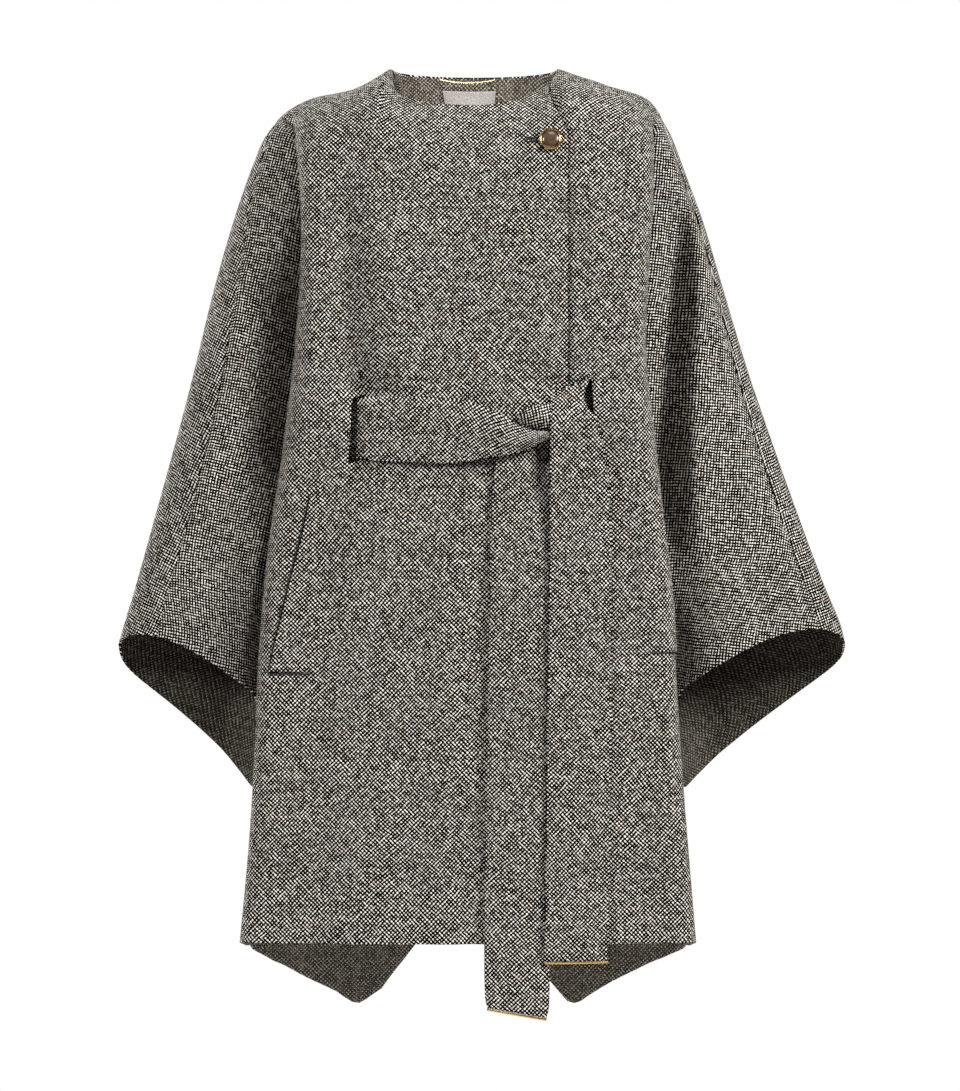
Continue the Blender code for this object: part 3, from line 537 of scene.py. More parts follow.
class TweedSettings(bpy.types.PropertyGroup):
    """The yarns of the tweed, on its right side and inside."""

    pitch: length("Yarn pitch", "Distance from one yarn to the next", 0.00215, 0.0005)
    dark: colour("Dark yarn", "Colour of the warp", (0.0040, 0.0028, 0.0012))
    pale: colour("Pale yarn", "Colour of the weft", (0.95, 0.90, 0.815))
    # The inside's yarns are closer in tone than the right side's, as on the cloth's wrong side, and its
    # pale yarn is darker than the right side's as painted shade
    inside_dark: colour("Inside dark", "Darker yarn on the wrong side", (0.070, 0.060, 0.046))
    inside_pale: colour("Inside pale", "Paler yarn on the wrong side", (0.65, 0.60, 0.51))
    # Painted shade: the wings' inside is a darker copy of the inside cloth, darkened by this amount
    wing_shade: portion("Wing shade", "How pale the wings' inside is beside the rest of the inside", 0.37)
    wander: portion("Wander", "How far a yarn strays from its line, as a share of the pitch", 0.45)
    pull: number("Pull", "How far the grain is pulled out of line, in yarns", 4.0)
    black: portion("Black", "How much wider the dark checks are than the pale ones", 0.38)
    streak: portion("Streak", "How much the checks run together into slanted streaks", 0.48)
    uneven: portion("Uneven", "How much the yarns swell and thin", 0.6)
    fleck: portion("Fleck", "Share of the checks that are coloured flecks", 0.025)
    relief: length("Relief", "Height of the yarns", 0.0005)
    sheen: portion("Sheen", "Sheen of the nap", 0.016)


class TrimSettings(bpy.types.PropertyGroup):
    """Metal, button, label and thread."""

    brass: colour("Brass", "Gold-coloured metal", (0.78, 0.52, 0.20))
    tarnish: colour("Tarnish", "Brown in the hollows of the metal", (0.16, 0.08, 0.025))
    pale_gold: colour("Pale gold", "Metal of the hanger", (0.90, 0.74, 0.42))
    horn: colour("Horn", "Set face of the button", (0.088, 0.054, 0.032))
    ribbon: colour("Ribbon", "Woven tape of the label", (0.47, 0.435, 0.41))
    # The same dark colour serves for the painted shadow lines beside the pocket welts
    thread: colour("Thread", "Thread of the buttonhole", (0.006, 0.005, 0.004))
    beads: whole_number("Beads", "Notches round the button's rim", 40, 6)
    links: whole_number("Links", "Links along the hanger", 44, 8)


class StageSettings(bpy.types.PropertyGroup):
    """Light, floor and camera."""

    distance: length("Distance", "From the camera to the middle of the cape", 4.0, 1.0)
    pixel: length("Pixel", "Size of a photo pixel at the middle of the cape", 0.00105, 0.0001)
    aim: FloatVectorProperty(
        name="Aim",
        description="Where the middle of the picture falls",
        default=(0.0058, 0.0, -0.4993),
        unit="LENGTH",
    )
    floor_drop: length("Floor drop", "From the neck down to the floor", 1.42)
    floor_radius: length("Floor radius", "Radius of the round floor", 1.38)
    sky: number("Sky", "Brightness of the soft light from all round", 0.055)
    key: power("Key", "Large soft light, upper right", 258.0)
    fill: power("Fill", "Soft light, upper left", 108.0)
    top: power("Top", "Soft light from above", 14.0)
    rear: power("Rear", "Soft light, behind", 190.0)
    neck: power("Neck", "Light inside the neck", 0.085)


class CapeSettings(bpy.types.PropertyGroup):
    """All settings of the cape."""

    cloth: PointerProperty(name="Cloth", description="Cloth", type=ClothSettings)
    tweed: PointerProperty(name="Tweed", description="Tweed", type=TweedSettings)
    trim: PointerProperty(name="Trim", description="Trim", type=TrimSettings)
    stage: PointerProperty(name="Stage", description="Stage", type=StageSettings)


def settings():
    return bpy.context.scene.cape


def along(rows, key, column, at):
    """Reads a column of a table at a value of its key column, on a smooth curve through the rows."""
    keys = [getattr(row, key) for row in rows]
    values = [getattr(row, column) for row in rows]
    last = len(keys) - 1
    at = min(max(at, keys[0]), keys[last])
    low = min(max(bisect.bisect_right(keys, at) - 1, 0), last - 1)

    def slope(index):
        before, after = max(index - 1, 0), min(index + 1, last)
        return (values[after] - values[before]) / (keys[after] - keys[before])

    step = keys[low + 1] - keys[low]
    share = (at - keys[low]) / step
    rest = 1 - share
    start = values[low] * (1 + 2 * share) + slope(low) * step * share
    end = values[low + 1] * (1 + 2 * rest) - slope(low + 1) * step * rest
    return start * rest * rest + end * share * share


def ease(low, high, at):
    """0 at low, 1 at high, and a smooth rise between them."""
    share = min(max((at - low) / (high - low), 0.0), 1.0)
    return share * share * (3 - 2 * share)


def steps(start, end, count):
    """The count values after start that end at end."""
    return [start + (end - start) * (k + 1) / count for k in range(count)]


def side_name(side):
    return "right" if side == RIGHT else "left"


def edge_x(side, z):
    return along(BODY, "z", side_name(side), z)


def depth_at(face, x, z):
    """How far the front or the back stands from the middle, fullest at x = 0."""
    depth = along(BODY, "z", "front" if face == FRONT else "back", z)
    return depth + BOW[face] * (1 - (x / edge_x(LEFT if x > 0 else RIGHT, z)) ** 2)


def seam_share(z):
    """1 where front and back stand apart at the armhole, 0 where they meet in the side seam."""
    return 1 - ease(UNDERARM_BEND, UNDERARM, z)


def flute(x, z):
    """How far the back swings out: full at its two long points, hollow in the middle."""
    swing = ease(FLUTE_TOP, FLUTE_FULL, z)
    return FLUTE * swing * math.cos(math.pi * (abs(x) - FLUTE_SPAN) / FLUTE_SPAN)


def section(side, face, across, z):
    """x and y on a level cut of the body. Across is 0 at the middle and SEAM_END at the seam."""
    edge, corner = edge_x(side, z), CORNER[face]
    flat = edge - corner
    inset = 0.0
    if across <= 1:
        x = MIDDLE * across
    elif across <= FLAT_END:
        x = MIDDLE + (flat - MIDDLE) * (across - 1) / (FLAT_END - 1)
    else:
        turn = math.pi / 2 * min(1.0, (across - FLAT_END) / (CORNER_END - FLAT_END))
        x, inset = flat + corner * math.sin(turn), corner * (1 - math.cos(turn))
    y = depth_at(face, side * x, z) - inset
    if across > CORNER_END:
        share = (across - CORNER_END) / (SEAM_END - CORNER_END)
        apart = seam_share(z)
        x -= (SIDE_TUCK + (SEAM_TUCK - SIDE_TUCK) * apart) * share * share
        y += (SEAM_DEPTH * apart + SEAM / 2 - y) * share
    if face == BACK:
        y += flute(x, z) * min(1.0, max(0.0, (CORNER_END - across) / (CORNER_END - FLAT_END)))
    return side * x, face * y


def top_point(side, face, across):
    """The point on the neckline or the shoulder seam that a column of the panel hangs from."""
    if across <= 1:
        turn = across * math.pi / 2
        fall = NECK_FALL * math.cos(turn) ** NECK_FALL_POWER[side] if face == FRONT and across < 1 else 0.0
        y = face * (SHOULDER_SEAM + NECK_DEPTH * math.cos(turn))
        return Vector((side * NECK_HALF * math.sin(turn), y, -fall))
    share = across - 1
    x = NECK_HALF + (SHOULDER_END[side] - NECK_HALF) * share
    apart = SHOULDER_SEAM + (SHOULDER_SEAM_END - SHOULDER_SEAM) * share
    return Vector((side * x, face * apart, along(SHOULDER, "share", side_name(side), share)))


def hem_z(side, face, across):
    if face == BACK:
        return along(BACK_HEM, "across", side_name(side), across)
    return FRONT_HEM + (SIDE_HEM - FRONT_HEM) * ease(SIDE_HEM_START, SEAM_END, across)


def panel_point(face, signed_across, row):
    """A point on the outer face of the front or the back."""
    side = LEFT if signed_across >= 0 else RIGHT
    across = abs(signed_across)
    top = top_point(side, face, across)
    lean = NECK_LEAN[face] * math.cos(min(across, 1) * math.pi / 2)
    turn = lean + (math.pi / 2 - lean) * min(row, 1)
    share = (math.sin(turn) - math.sin(lean)) / (1 - math.sin(lean))
    z = top.z - SHOULDER_DROP * (1 - math.cos(turn) / math.cos(lean))
    if row > 1:
        z += (hem_z(side, face, across) - z) * (row - 1)
    x, y = section(side, face, across, z)
    return Vector((top.x + (x - top.x) * share, top.y + (y - top.y) * share, z))


def panel_normal(face, across, row):
    """The way out of the cloth at a point of the front or the back."""
    step = 1e-3
    side_step = step if across < SEAM_END - step else -step
    down_step = step if row < 2 - step else -step
    here = panel_point(face, across, row)
    sideways = (panel_point(face, across + side_step, row) - here) / side_step
    down = (panel_point(face, across, row + down_step) - here) / down_step
    return (sideways.cross(down) * face).normalized()


def moved_out(face, across, row, distance):
    return panel_point(face, across, row) + panel_normal(face, across, row) * distance


def wrap_reach(row):
    """How far across the over front reaches in this row."""
    dropped = 1 - math.cos(math.pi / 2 * min(row, 1))
    return WRAP_NECK + (WRAP_EDGE - WRAP_NECK) * min(1.0, dropped / WRAP_CORNER)


def wing_width(side, seam):
    """How far a wing sleeve reaches out from a point of its armhole seam."""
    return along(WING, "seam_z", side_name(side), seam.z) - abs(seam.x)


def wing_point(side, face, out, row):
    """A point on the outer face of a wing sleeve. Out is 0 at the armhole seam and 1 at the outer fold."""
    seam = panel_point(face, side * SEAM_END, row)
    outer_z = along(WING, "seam_z", "out_z", seam.z)
    depth = along(WING, "seam_z", "front" if face == FRONT else "back", seam.z)
    width = wing_width(side, seam)
    full = max(0.0, 1 - out ** WING_FULLNESS) ** (1 / WING_FULLNESS)
    tuck = math.exp(-out * width / WING_TUCK[face])
    y = face * (depth * full - (depth - abs(seam.y)) * tuck)
    down, cuff = ease(CUFF_START, UNDERARM, seam.z), CUFF[side, face]
    lift, rise = down * cuff.lift, down * cuff.rise
    slope = (outer_z - seam.z - rise + lift) * (1 - out) ** cuff.slope
    z = outer_z + lift * full - slope - rise * math.exp(-((out * width / CUFF_TUCK) ** 2))
    return Vector((side * (abs(seam.x) + width * out), y, z))


def overarm_share(side, row, gap):
    """How far out the overarm seam lies on the front of the wing sleeve, less a gap."""
    seam = panel_point(FRONT, side * SEAM_END, row)
    return 1 - (gap + along(OVERARM, "seam_z", side_name(side), seam.z)) / wing_width(side, seam)


def front_point(side, distance, z, lift):
    """A point over the front at a distance round it from the middle, moved out by lift."""
    corner = CORNER[FRONT]
    flat = edge_x(side, z) - corner
    turn = min(max((distance - flat) / corner, 0.0), math.pi / 2)
    x = min(distance, flat) + corner * math.sin(turn)
    y = depth_at(FRONT, side * x, z) - corner * (1 - math.cos(turn)) + lift * math.cos(turn)
    past = max(0.0, distance - flat - corner * math.pi / 2)
    return Vector((side * (x + lift * math.sin(turn)), past - y, z)) + corner_shift(side, z, turn)


def feed(socket, value):
    """Links a value to a socket, or sets the socket's own number or colour."""
    if isinstance(value, Value):
        value.finish.tree.links.new(value.socket, socket)
    else:
        socket.default_value = value


class Value:
    """A socket that takes part in Python expressions: each operation adds a Math node."""

    def __init__(self, finish, socket):
        self.finish, self.socket = finish, socket

    def maths(self, operation, *operands):
        return self.finish.node("ShaderNodeMath", {"operation": operation}, dict(enumerate(operands)))

    def __add__(self, other):
        return self.maths("ADD", self, other)

    def __radd__(self, other):
        return self.maths("ADD", other, self)

    def __sub__(self, other):
        return self.maths("SUBTRACT", self, other)

    def __rsub__(self, other):
        return self.maths("SUBTRACT", other, self)

    def __mul__(self, other):
        return self.maths("MULTIPLY", self, other)

    def __rmul__(self, other):
        return self.maths("MULTIPLY", other, self)

    def __truediv__(self, other):
        return self.maths("DIVIDE", self, other)

    def __abs__(self):
        return self.maths("ABSOLUTE", self)

    def floor(self):
        return self.maths("FLOOR", self)

    def cosine(self):
        return self.maths("COSINE", self)

    def rise(self, low, high):
        """0 below low, 1 above high, and a smooth rise between them."""
        sockets = {"Value": self, "From Min": low, "From Max": high}
        return self.finish.node("ShaderNodeMapRange", {"interpolation_type": "SMOOTHSTEP"}, sockets)


class Finish:
    """A material being made: adds nodes to its tree, and feeds its surface shader."""

    def __init__(self, name):
        self.material = bpy.data.materials.new("cape_" + name)
        self.material.use_nodes = True
        self.tree = self.material.node_tree
        self.surface = self.tree.nodes["Principled BSDF"]

    def node(self, kind, options, sockets, output=0):
        """Adds a node: its options are set first, then its sockets take numbers, colours or links."""
        made = self.tree.nodes.new(kind)
        for key, value in options.items():
            setattr(made, key, value)
        for key, value in sockets.items():
            feed(made.inputs[key], value)
        return Value(self, made.outputs[output])

    def grain(self):
        return self.node("ShaderNodeUVMap", {"uv_map": GRAIN}, {})

    def place(self):
        return self.node("ShaderNodeTexCoord", {}, {}, "Object")

    def part(self, vector, axis):
        return self.node("ShaderNodeSeparateXYZ", {}, {"Vector": vector}, axis)

    def cloud(self, place, scale, detail=1.0):
        """Soft noise from 0 to 1, with scale swells to the metre."""
        return self.node("ShaderNodeTexNoise", {}, {"Vector": place, "Scale": scale, "Detail": detail})

    def chance(self, use, x, y):
        """A random number from 0 to 1 for each whole x and y, one for each use."""
        spot = self.node("ShaderNodeCombineXYZ", {}, {"X": x, "Y": y, "Z": SEEDS[use]})
        return self.node("ShaderNodeTexWhiteNoise", {"noise_dimensions": "3D"}, {"Vector": spot})

    def blend(self, factor, first, second):
        """A colour between two colours."""
        first, second = (c if isinstance(c, Value) else (*c, 1.0) for c in (first, second))
        return self.node("ShaderNodeMix", {"data_type": "RGBA"}, {0: factor, 6: first, 7: second}, 2)

    def dimmed(self, tone, amount):
        """A colour times an amount that changes over the surface."""
        return self.node("ShaderNodeVectorMath", {"operation": "SCALE"}, {"Vector": tone, "Scale": amount})

    def relief(self, height, depth, strength=1.0):
        bump = self.node("ShaderNodeBump", {}, {"Height": height, "Distance": depth, "Strength": strength})
        feed(self.surface.inputs["Normal"], bump)

    def set(self, **sockets):
        """Feeds the surface shader. A socket's name has _ for each space."""
        for name, value in sockets.items():
            feed(self.surface.inputs[name.replace("_", " ")], value)
        return self.material


def toned(tone, amount):
    """A colour times an amount, or times an amount for each of its three channels."""
    amounts = amount if isinstance(amount, tuple) else (amount,) * 3
    return [part * channel for part, channel in zip(amounts, tone)]


def diagonals(x, y):
    """The two waves that cross in a plain weave, each along one diagonal of its checks."""
    return ((x - y) * math.pi).cosine(), ((x + y) * math.pi).cosine()


def tweed(name, dark, pale):
    """Plain weave of dark and pale wool yarns."""
    look = settings().tweed
    cloth = Finish(name)
    lay = cloth.grain()

    def yarns(axis, wander_scale, pull_scale):
        """Where a spot lies across the yarns of one direction, counted in yarns."""
        strayed = (cloth.cloud(lay, wander_scale) - 0.5) * (2 * look.wander)
        pulled = (cloth.cloud(lay, pull_scale) - 0.5) * look.pull
        return cloth.part(lay, axis) / look.pitch + (strayed + pulled)

    x, y = yarns("X", *WARP_SCALES), yarns("Y", *WEFT_SCALES)
    warp, weft = x.floor(), y.floor()
    up, down = diagonals(x, y)
    lean = ((cloth.cloud(lay, STREAK_SCALE, detail=2.0) - 0.5) * (2 * look.streak)).rise(-0.5, 0.5)
    check = lean * up - (1 - lean) * down
    swelling = (cloth.chance("width", warp, weft) - 0.5) * look.uneven
    swelling = swelling + (cloth.cloud(lay, UNEVEN_SCALE) - 0.5) * look.uneven
    edge = CHECK_EDGE / CLEAR[name]
    covered = (check + swelling + look.black).rise(-edge, edge)

    grey = cloth.chance("weft", 0.0, weft) * WEFT_SHARE
    grey = (grey + cloth.chance("pale", warp, weft) * (1 - WEFT_SHARE)).rise(*GREYED_RISE)
    light = cloth.chance("warp", warp, 0.0) * WARP_SHARE
    light = (light + cloth.chance("dark", warp, weft) * (1 - WARP_SHARE)).rise(*RAISED_RISE)
    hue = cloth.chance("hue", warp, weft).rise(*HUE_RISE)
    fleck = cloth.chance("fleck", warp, weft).rise(1 - look.fleck, 1 + FLECK_EDGE - look.fleck)
    warm = cloth.blend(hue, toned(pale, TAN), toned(pale, OLIVE))
    pale_yarn = cloth.blend(fleck, cloth.blend(grey, pale, toned(pale, GREYED)), warm)
    dark_yarn = cloth.blend(light, dark, toned(dark, RAISED))
    tone = cloth.blend(covered, pale_yarn, dark_yarn)
    # Painted shade: each check's colour is darkened towards the hollows between the yarns, where shade
    # falls
    shade = (1 - YARN_SHADE) + YARN_SHADE * abs(check).rise(0.0, YARN_SHADE_END)
    fibre = cloth.cloud(lay, FIBRE_SCALE, detail=3.0) * FIBRE_SHARE
    cloth.relief(abs(check).rise(0.0, YARN_ROUND) + fibre, look.relief, strength=0.8)
    return cloth.set(
        Base_Color=cloth.dimmed(tone, shade),
        Roughness=0.92,
        Specular_IOR_Level=0.04,
        Sheen_Weight=look.sheen,
        Sheen_Roughness=0.45,
        Sheen_Tint=NAP_TONE,
    )


def metal(name, bright, dull, roughness):
    """Polished metal with tarnish in soft patches."""
    made = Finish(name)
    place = made.place()
    patch = made.cloud(place, TARNISH_SCALE, detail=3.0).rise(*TARNISH_RISE)
    made.relief(made.cloud(place, SCRATCH_SCALE, detail=2.0), SCRATCH_DEPTH, strength=0.5)
    return made.set(
        Base_Color=made.blend(patch * TARNISH_SHARE, bright, dull),
        Roughness=roughness + TARNISH_ROUGH * patch,
        Metallic=1.0,
    )


def horn(name, tone):
    """Glossy set face with cloudy streaks."""
    made = Finish(name)
    streak = made.cloud(made.place(), HORN_SCALE, detail=3.0)
    return made.set(
        Base_Color=made.blend(streak.rise(*HORN_RISE), *(toned(tone, amount) for amount in HORN_TONES)),
        Roughness=HORN_ROUGH + HORN_STREAK_ROUGH * streak,
        Coat_Weight=0.7,
        Coat_Roughness=0.06,
    )


def ribbon(name, tone):
    """Fine tape, woven in a close plain weave."""
    made = Finish(name)
    lay = made.grain()
    up, down = diagonals(made.part(lay, "X") / RIBBON_PITCH, made.part(lay, "Y") / RIBBON_PITCH)
    check = up - down
    made.relief(abs(check) * 0.5, RIBBON_DEPTH, strength=0.7)
    weave = made.blend(check.rise(-1.0, 1.0), *(toned(tone, amount) for amount in RIBBON_TONES))
    patch = RIBBON_DIM + RIBBON_PATCH * made.cloud(lay, RIBBON_SCALE, detail=2.0)
    return made.set(Base_Color=made.dimmed(weave, patch), Roughness=0.72, Sheen_Weight=0.1)


def thread(name, tone):
    """Twisted black buttonhole yarn, also used for the painted shadow lines beside the pocket welts."""
    made = Finish(name)
    twist = made.cloud(made.place(), THREAD_SCALE, detail=2.0)
    made.relief(twist, THREAD_DEPTH, strength=0.8)
    return made.set(Base_Color=made.blend(twist, tone, toned(tone, THREAD_PALE)), Roughness=0.6)


def wing_inside(name, look):
    """The inside of the wings: a darker copy of the inside cloth, its yarns darkened by the wing shade
    amount as painted shade.
    """
    return tweed(name, toned(look.inside_dark, look.wing_shade), toned(look.inside_pale, look.wing_shade))


FINISHES = {
    "tweed": lambda name, cape: tweed(name, cape.tweed.dark, cape.tweed.pale),
    # The inside cloth: the wrong side's flatter weave, with its pale yarn darkened as painted shade
    "tweed_inside": lambda name, cape: tweed(name, cape.tweed.inside_dark, cape.tweed.inside_pale),
    "wing_inside": lambda name, cape: wing_inside(name, cape.tweed),
    "brass": lambda name, cape: metal(name, cape.trim.brass, cape.trim.tarnish, BRASS_ROUGH),
    "pale_gold": lambda name, cape: metal(name, cape.trim.pale_gold, cape.trim.tarnish, GOLD_ROUGH),
    "horn": lambda name, cape: horn(name, cape.trim.horn),
    "ribbon": lambda name, cape: ribbon(name, cape.trim.ribbon),
    "thread": lambda name, cape: thread(name, cape.trim.thread),
}


def finish(name):
    """The material of that name, made the first time that it is asked for."""
    return bpy.data.materials.get("cape_" + name) or FINISHES[name](name, settings())


def path_gap(place, path):
    """The distance from a place to a path, and how far along the path the nearest spot is."""
    spots = [Vector(spot) for spot in path]
    whole = sum((end - start).length for start, end in zip(spots, spots[1:]))
    best, passed = None, 0.0
    for start, end in zip(spots, spots[1:]):
        run = end - start
        step = min(max((place - start).dot(run) / run.length_squared, 0.0), 1.0)
        gap = (place - start - run * step).length
        if best is None or gap < best[0]:
            best = (gap, (passed + run.length * step) / whole)
        passed += run.length
    return best


def dip(creases, x, z):
    """How far the cloth lies below its smooth form, from the creases near a place."""
    place = Vector((x, z))
    total = 0.0
    for crease in creases:
        gap, at = path_gap(place, crease.path)
        if gap < CREASE_REACH * crease.width:
            fade = ease(0.0, CREASE_FADE, at) * (1 - ease(1 - CREASE_FADE, 1.0, at))
            total += fade * crease.depth * math.exp(-((gap / crease.width) ** 2))
    return total


def armhole_hollow(side, z):
    """How far the front armhole seam is drawn in at a height."""
    wane = 1 - (1 - HOLLOW_REST) * ease(HOLLOW_WANE, HOLLOW_LOW, z)
    return HOLLOW[side] * wane * seam_share(z) * ease(HOLLOW_TOP, HOLLOW_FULL, z)


def corner_shift(side, z, turn):
    """How a front's corner departs from its round form: drawn in at the armhole, and squarer."""
    square = CORNER_SQUARE * math.sin(2 * turn) * ease(CREASE_TOP, CREASE_FULL, z)
    return Vector((side * square, armhole_hollow(side, z) * (1 - math.cos(turn)) - square, 0.0))


def uneven(layer, face, x, z):
    """The uneven hang of a layer of cloth at a place, from -1 to 1."""
    spot = Vector((x, HANG_LAYER[layer] * face, HANG_STRETCH[layer] * z))
    return noise.noise(spot / settings().cloth.sway_span)


def swell(face, x, z):
    """How far a body panel stands out at a place, with its creases and its uneven hang."""
    flat = edge_x(LEFT if x > 0 else RIGHT, z) - CORNER[face]
    margins = 1 - ease(flat - CREASE_MARGIN, flat + CREASE_MARGIN, abs(x))
    margins *= ease(CREASE_TOP, CREASE_FULL, z)
    return margins * (settings().cloth.sway * uneven("body", face, x, z) - dip(CREASES[face], x, z))


def wing_swell(side, face, out, point):
    """How far a wing stands out, nothing at its seam and its outer fold."""
    margins = ease(*WING_SEAM_MARGIN, out) * (1 - ease(*WING_FOLD_MARGIN, out))
    margins *= ease(*WING_HEAD_MARGIN, point.z)
    hang = WING_SWAY * settings().cloth.sway * uneven("wing", face, point.x, point.z)
    return margins * (hang - dip(WING_CREASES[side, face], point.x, point.z))


def finer(stops, step):
    """Stops with even steps between them, none longer than step."""
    found = [stops[0]]
    for before, after in zip(stops, stops[1:]):
        found += steps(before, after, max(1, math.ceil(abs(after - before) / step)))
    return found


def turned(u, v, angle):
    return (u * math.cos(angle) - v * math.sin(angle), u * math.sin(angle) + v * math.cos(angle))


def strip_grain(points):
    """Lays the grain along a strip: distance along its rows and down its columns."""
    rows, columns = len(points), len(points[0])
    u = [[0.0] * columns for _ in range(rows)]
    v = [[0.0] * columns for _ in range(rows)]
    for r in range(rows):
        for c in range(columns):
            if c:
                u[r][c] = u[r][c - 1] + (points[r][c] - points[r][c - 1]).length
            if r:
                v[r][c] = v[r - 1][c] - (points[r][c] - points[r - 1][c]).length
    return [[(u[r][c], v[r][c]) for c in range(columns)] for r in range(rows)]


def panel_grain(points, columns, rows):
    """Lays the grain straight down a body panel: level round it, and over the shoulder from row 1."""
    level = min(range(len(rows)), key=lambda r: abs(rows[r] - 1))
    middle = min(range(len(columns)), key=lambda c: abs(columns[c]))
    lay = [[None] * len(columns) for _ in rows]
    for r, line in enumerate(points):
        for direction in (-1, 1):
            u = line[middle].x
            c = middle
            while 0 <= c < len(columns):
                before = c - direction
                if c != middle:
                    x, y, z = line[c] - line[before]
                    turned_back = abs(columns[c]) > FLAT_END
                    u += direction * math.hypot(x, y * turned_back, z * (turned_back and r < level))
                lay[r][c] = (u, line[c].z)
                c += direction
    for c in range(len(columns)):
        v = points[level][c].z
        for r in range(level - 1, -1, -1):
            moved = points[r][c] - points[r + 1][c]
            arc = NECK_EASE + (1 - NECK_EASE) * ease(*NECK_EASE_SPAN, abs(columns[c]))
            v += abs(moved.z) + (math.hypot(moved.y, moved.z) - abs(moved.z)) * arc
            lay[r][c] = (lay[r][c][0], v)
    return lay


def level_grain(points, rounded=0):
    """Measures a hanging piece level round it and up from its lower end, over its rounded top rows."""
    heights = [[point.z for point in points[-1]]]
    for index in reversed(range(len(points) - 1)):
        line = []
        for here, before, height in zip(points[index], points[index + 1], heights[0]):
            moved = here - before
            rise = moved.length if index < rounded else math.hypot(moved.y, moved.z)
            line.append(height + math.copysign(rise, moved.z))
        heights.insert(0, line)
    lay = []
    for line, high in zip(points, heights):
        u = line[0].x
        found = [(u, high[0])]
        for before, after, height in zip(line, line[1:], high[1:]):
            moved = after - before
            u += math.copysign(math.hypot(moved.x, moved.y), line[-1].x)
            found.append((u, height))
        lay.append(found)
    return lay


def cloth_piece(
    node, points, lay, wall, rests_on, reverse=False, cut=(), faces=("tweed", "tweed_inside"), bias=0.0
):
    """A cloth shell in place of a solid: a grid of points, its grain map, a wall and rounded edges.

    Lay is where each point lies on the flat cut, and bias turns the grain on it. Reverse is for a grid that
    would face inwards. Cut is a set of cells that are left out. Faces names the finishes of its outer and
    its inner face.
    """
    shell = bmesh.new()
    grain = shell.loops.layers.uv.new(GRAIN)
    verts = [[shell.verts.new(point) for point in line] for line in points]
    for r in range(len(points) - 1):
        for c in range(len(points[0]) - 1):
            if (r, c) in cut:
                continue
            corners = [(r, c), (r + 1, c), (r + 1, c + 1), (r, c + 1)]
            if reverse:
                corners.reverse()
            face = shell.faces.new([verts[i][j] for i, j in corners])
            for loop, (i, j) in zip(face.loops, corners):
                loop[grain].uv = turned(*lay[i][j], bias)
    loose = [vert for vert in shell.verts if not vert.link_faces]
    bmesh.ops.delete(shell, geom=loose, context="VERTS")
    flat_area = sum(uv_area([loop[grain].uv for loop in face.loops]) for face in shell.faces)
    spots = [spot for line in lay for spot in line]
    mesh = bpy.data.meshes.new(node + "_cloth")
    shell.to_mesh(mesh)
    shell.free()
    mesh.shade_smooth()
    piece = placed(mesh.name, mesh, faces[0], node)
    mesh.materials.append(finish(faces[1]))
    thick = piece.modifiers.new("Wall", "SOLIDIFY")
    thick.thickness = wall
    thick.offset = -1
    thick.material_offset = 1
    rounded = piece.modifiers.new("Edge", "BEVEL")
    rounded.width = min(settings().cloth.edge, EDGE_SHARE * wall)
    rounded.segments = EDGE_STEPS
    rounded.angle_limit = EDGE_ANGLE
    width, drop = (max(values) - min(values) for values in zip(*spots))
    return piece


def uv_area(corners):
    """Area of a cell on the grain map."""
    total = 0.0
    for here, after in zip(corners, corners[1:] + corners[:1]):
        total += here.x * after.y - after.x * here.y
    return abs(total) / 2


def placed(name, data, material, node=None):
    """Puts a piece in the scene, where it moves with the cape and takes the place of a named solid."""
    piece = bpy.data.objects.new(name, data)
    bpy.context.scene.collection.objects.link(piece)
    data.materials.append(finish(material))
    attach(piece, CARRIER)
    if node:
        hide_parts(node)
    return piece


def panel_rows():
    """Rows from the shoulder seam to the hem, with one at each end of the slits and at the underarm."""
    slits = sorted(SLIT_ROWS[RIGHT] + SLIT_ROWS[LEFT])
    step = settings().cloth.step / (SHOULDER_DROP - FRONT_HEM)
    return finer([0.0, 1.0], ROUND_STEP) + finer([1.0, *slits, UNDERARM_ROW, 2.0], step)[1:]


def slit_span(side):
    """Where a belt slit starts and ends across a front."""
    flat = edge_x(side, SLIT_Z) - CORNER[FRONT]
    per_metre = (FLAT_END - 1) / (flat - MIDDLE)
    low, high = SLIT_X[side] - SLIT_WIDTH / 2, SLIT_X[side] + SLIT_WIDTH / 2
    return [1 + (low - MIDDLE) * per_metre, 1 + (high - MIDDLE) * per_metre]


def half_columns(side, face):
    """Columns from the middle of a panel to its seam."""
    stops = [0.0, 1.0, *(slit_span(side) if face == FRONT else ()), FLAT_END, CORNER_END, SEAM_END]
    return finer(stops, settings().cloth.step / ACROSS_METRES)


def slit_cells(columns, rows, span, top, low):
    """The cells of a grid that a belt slit leaves out."""
    cells = set()
    for r, (above, below) in enumerate(zip(rows, rows[1:])):
        for c, (before, after) in enumerate(zip(columns, columns[1:])):
            if span[0] < (before + after) / 2 < span[1] and top < (above + below) / 2 < low:
                cells.add((r, c))
    return cells


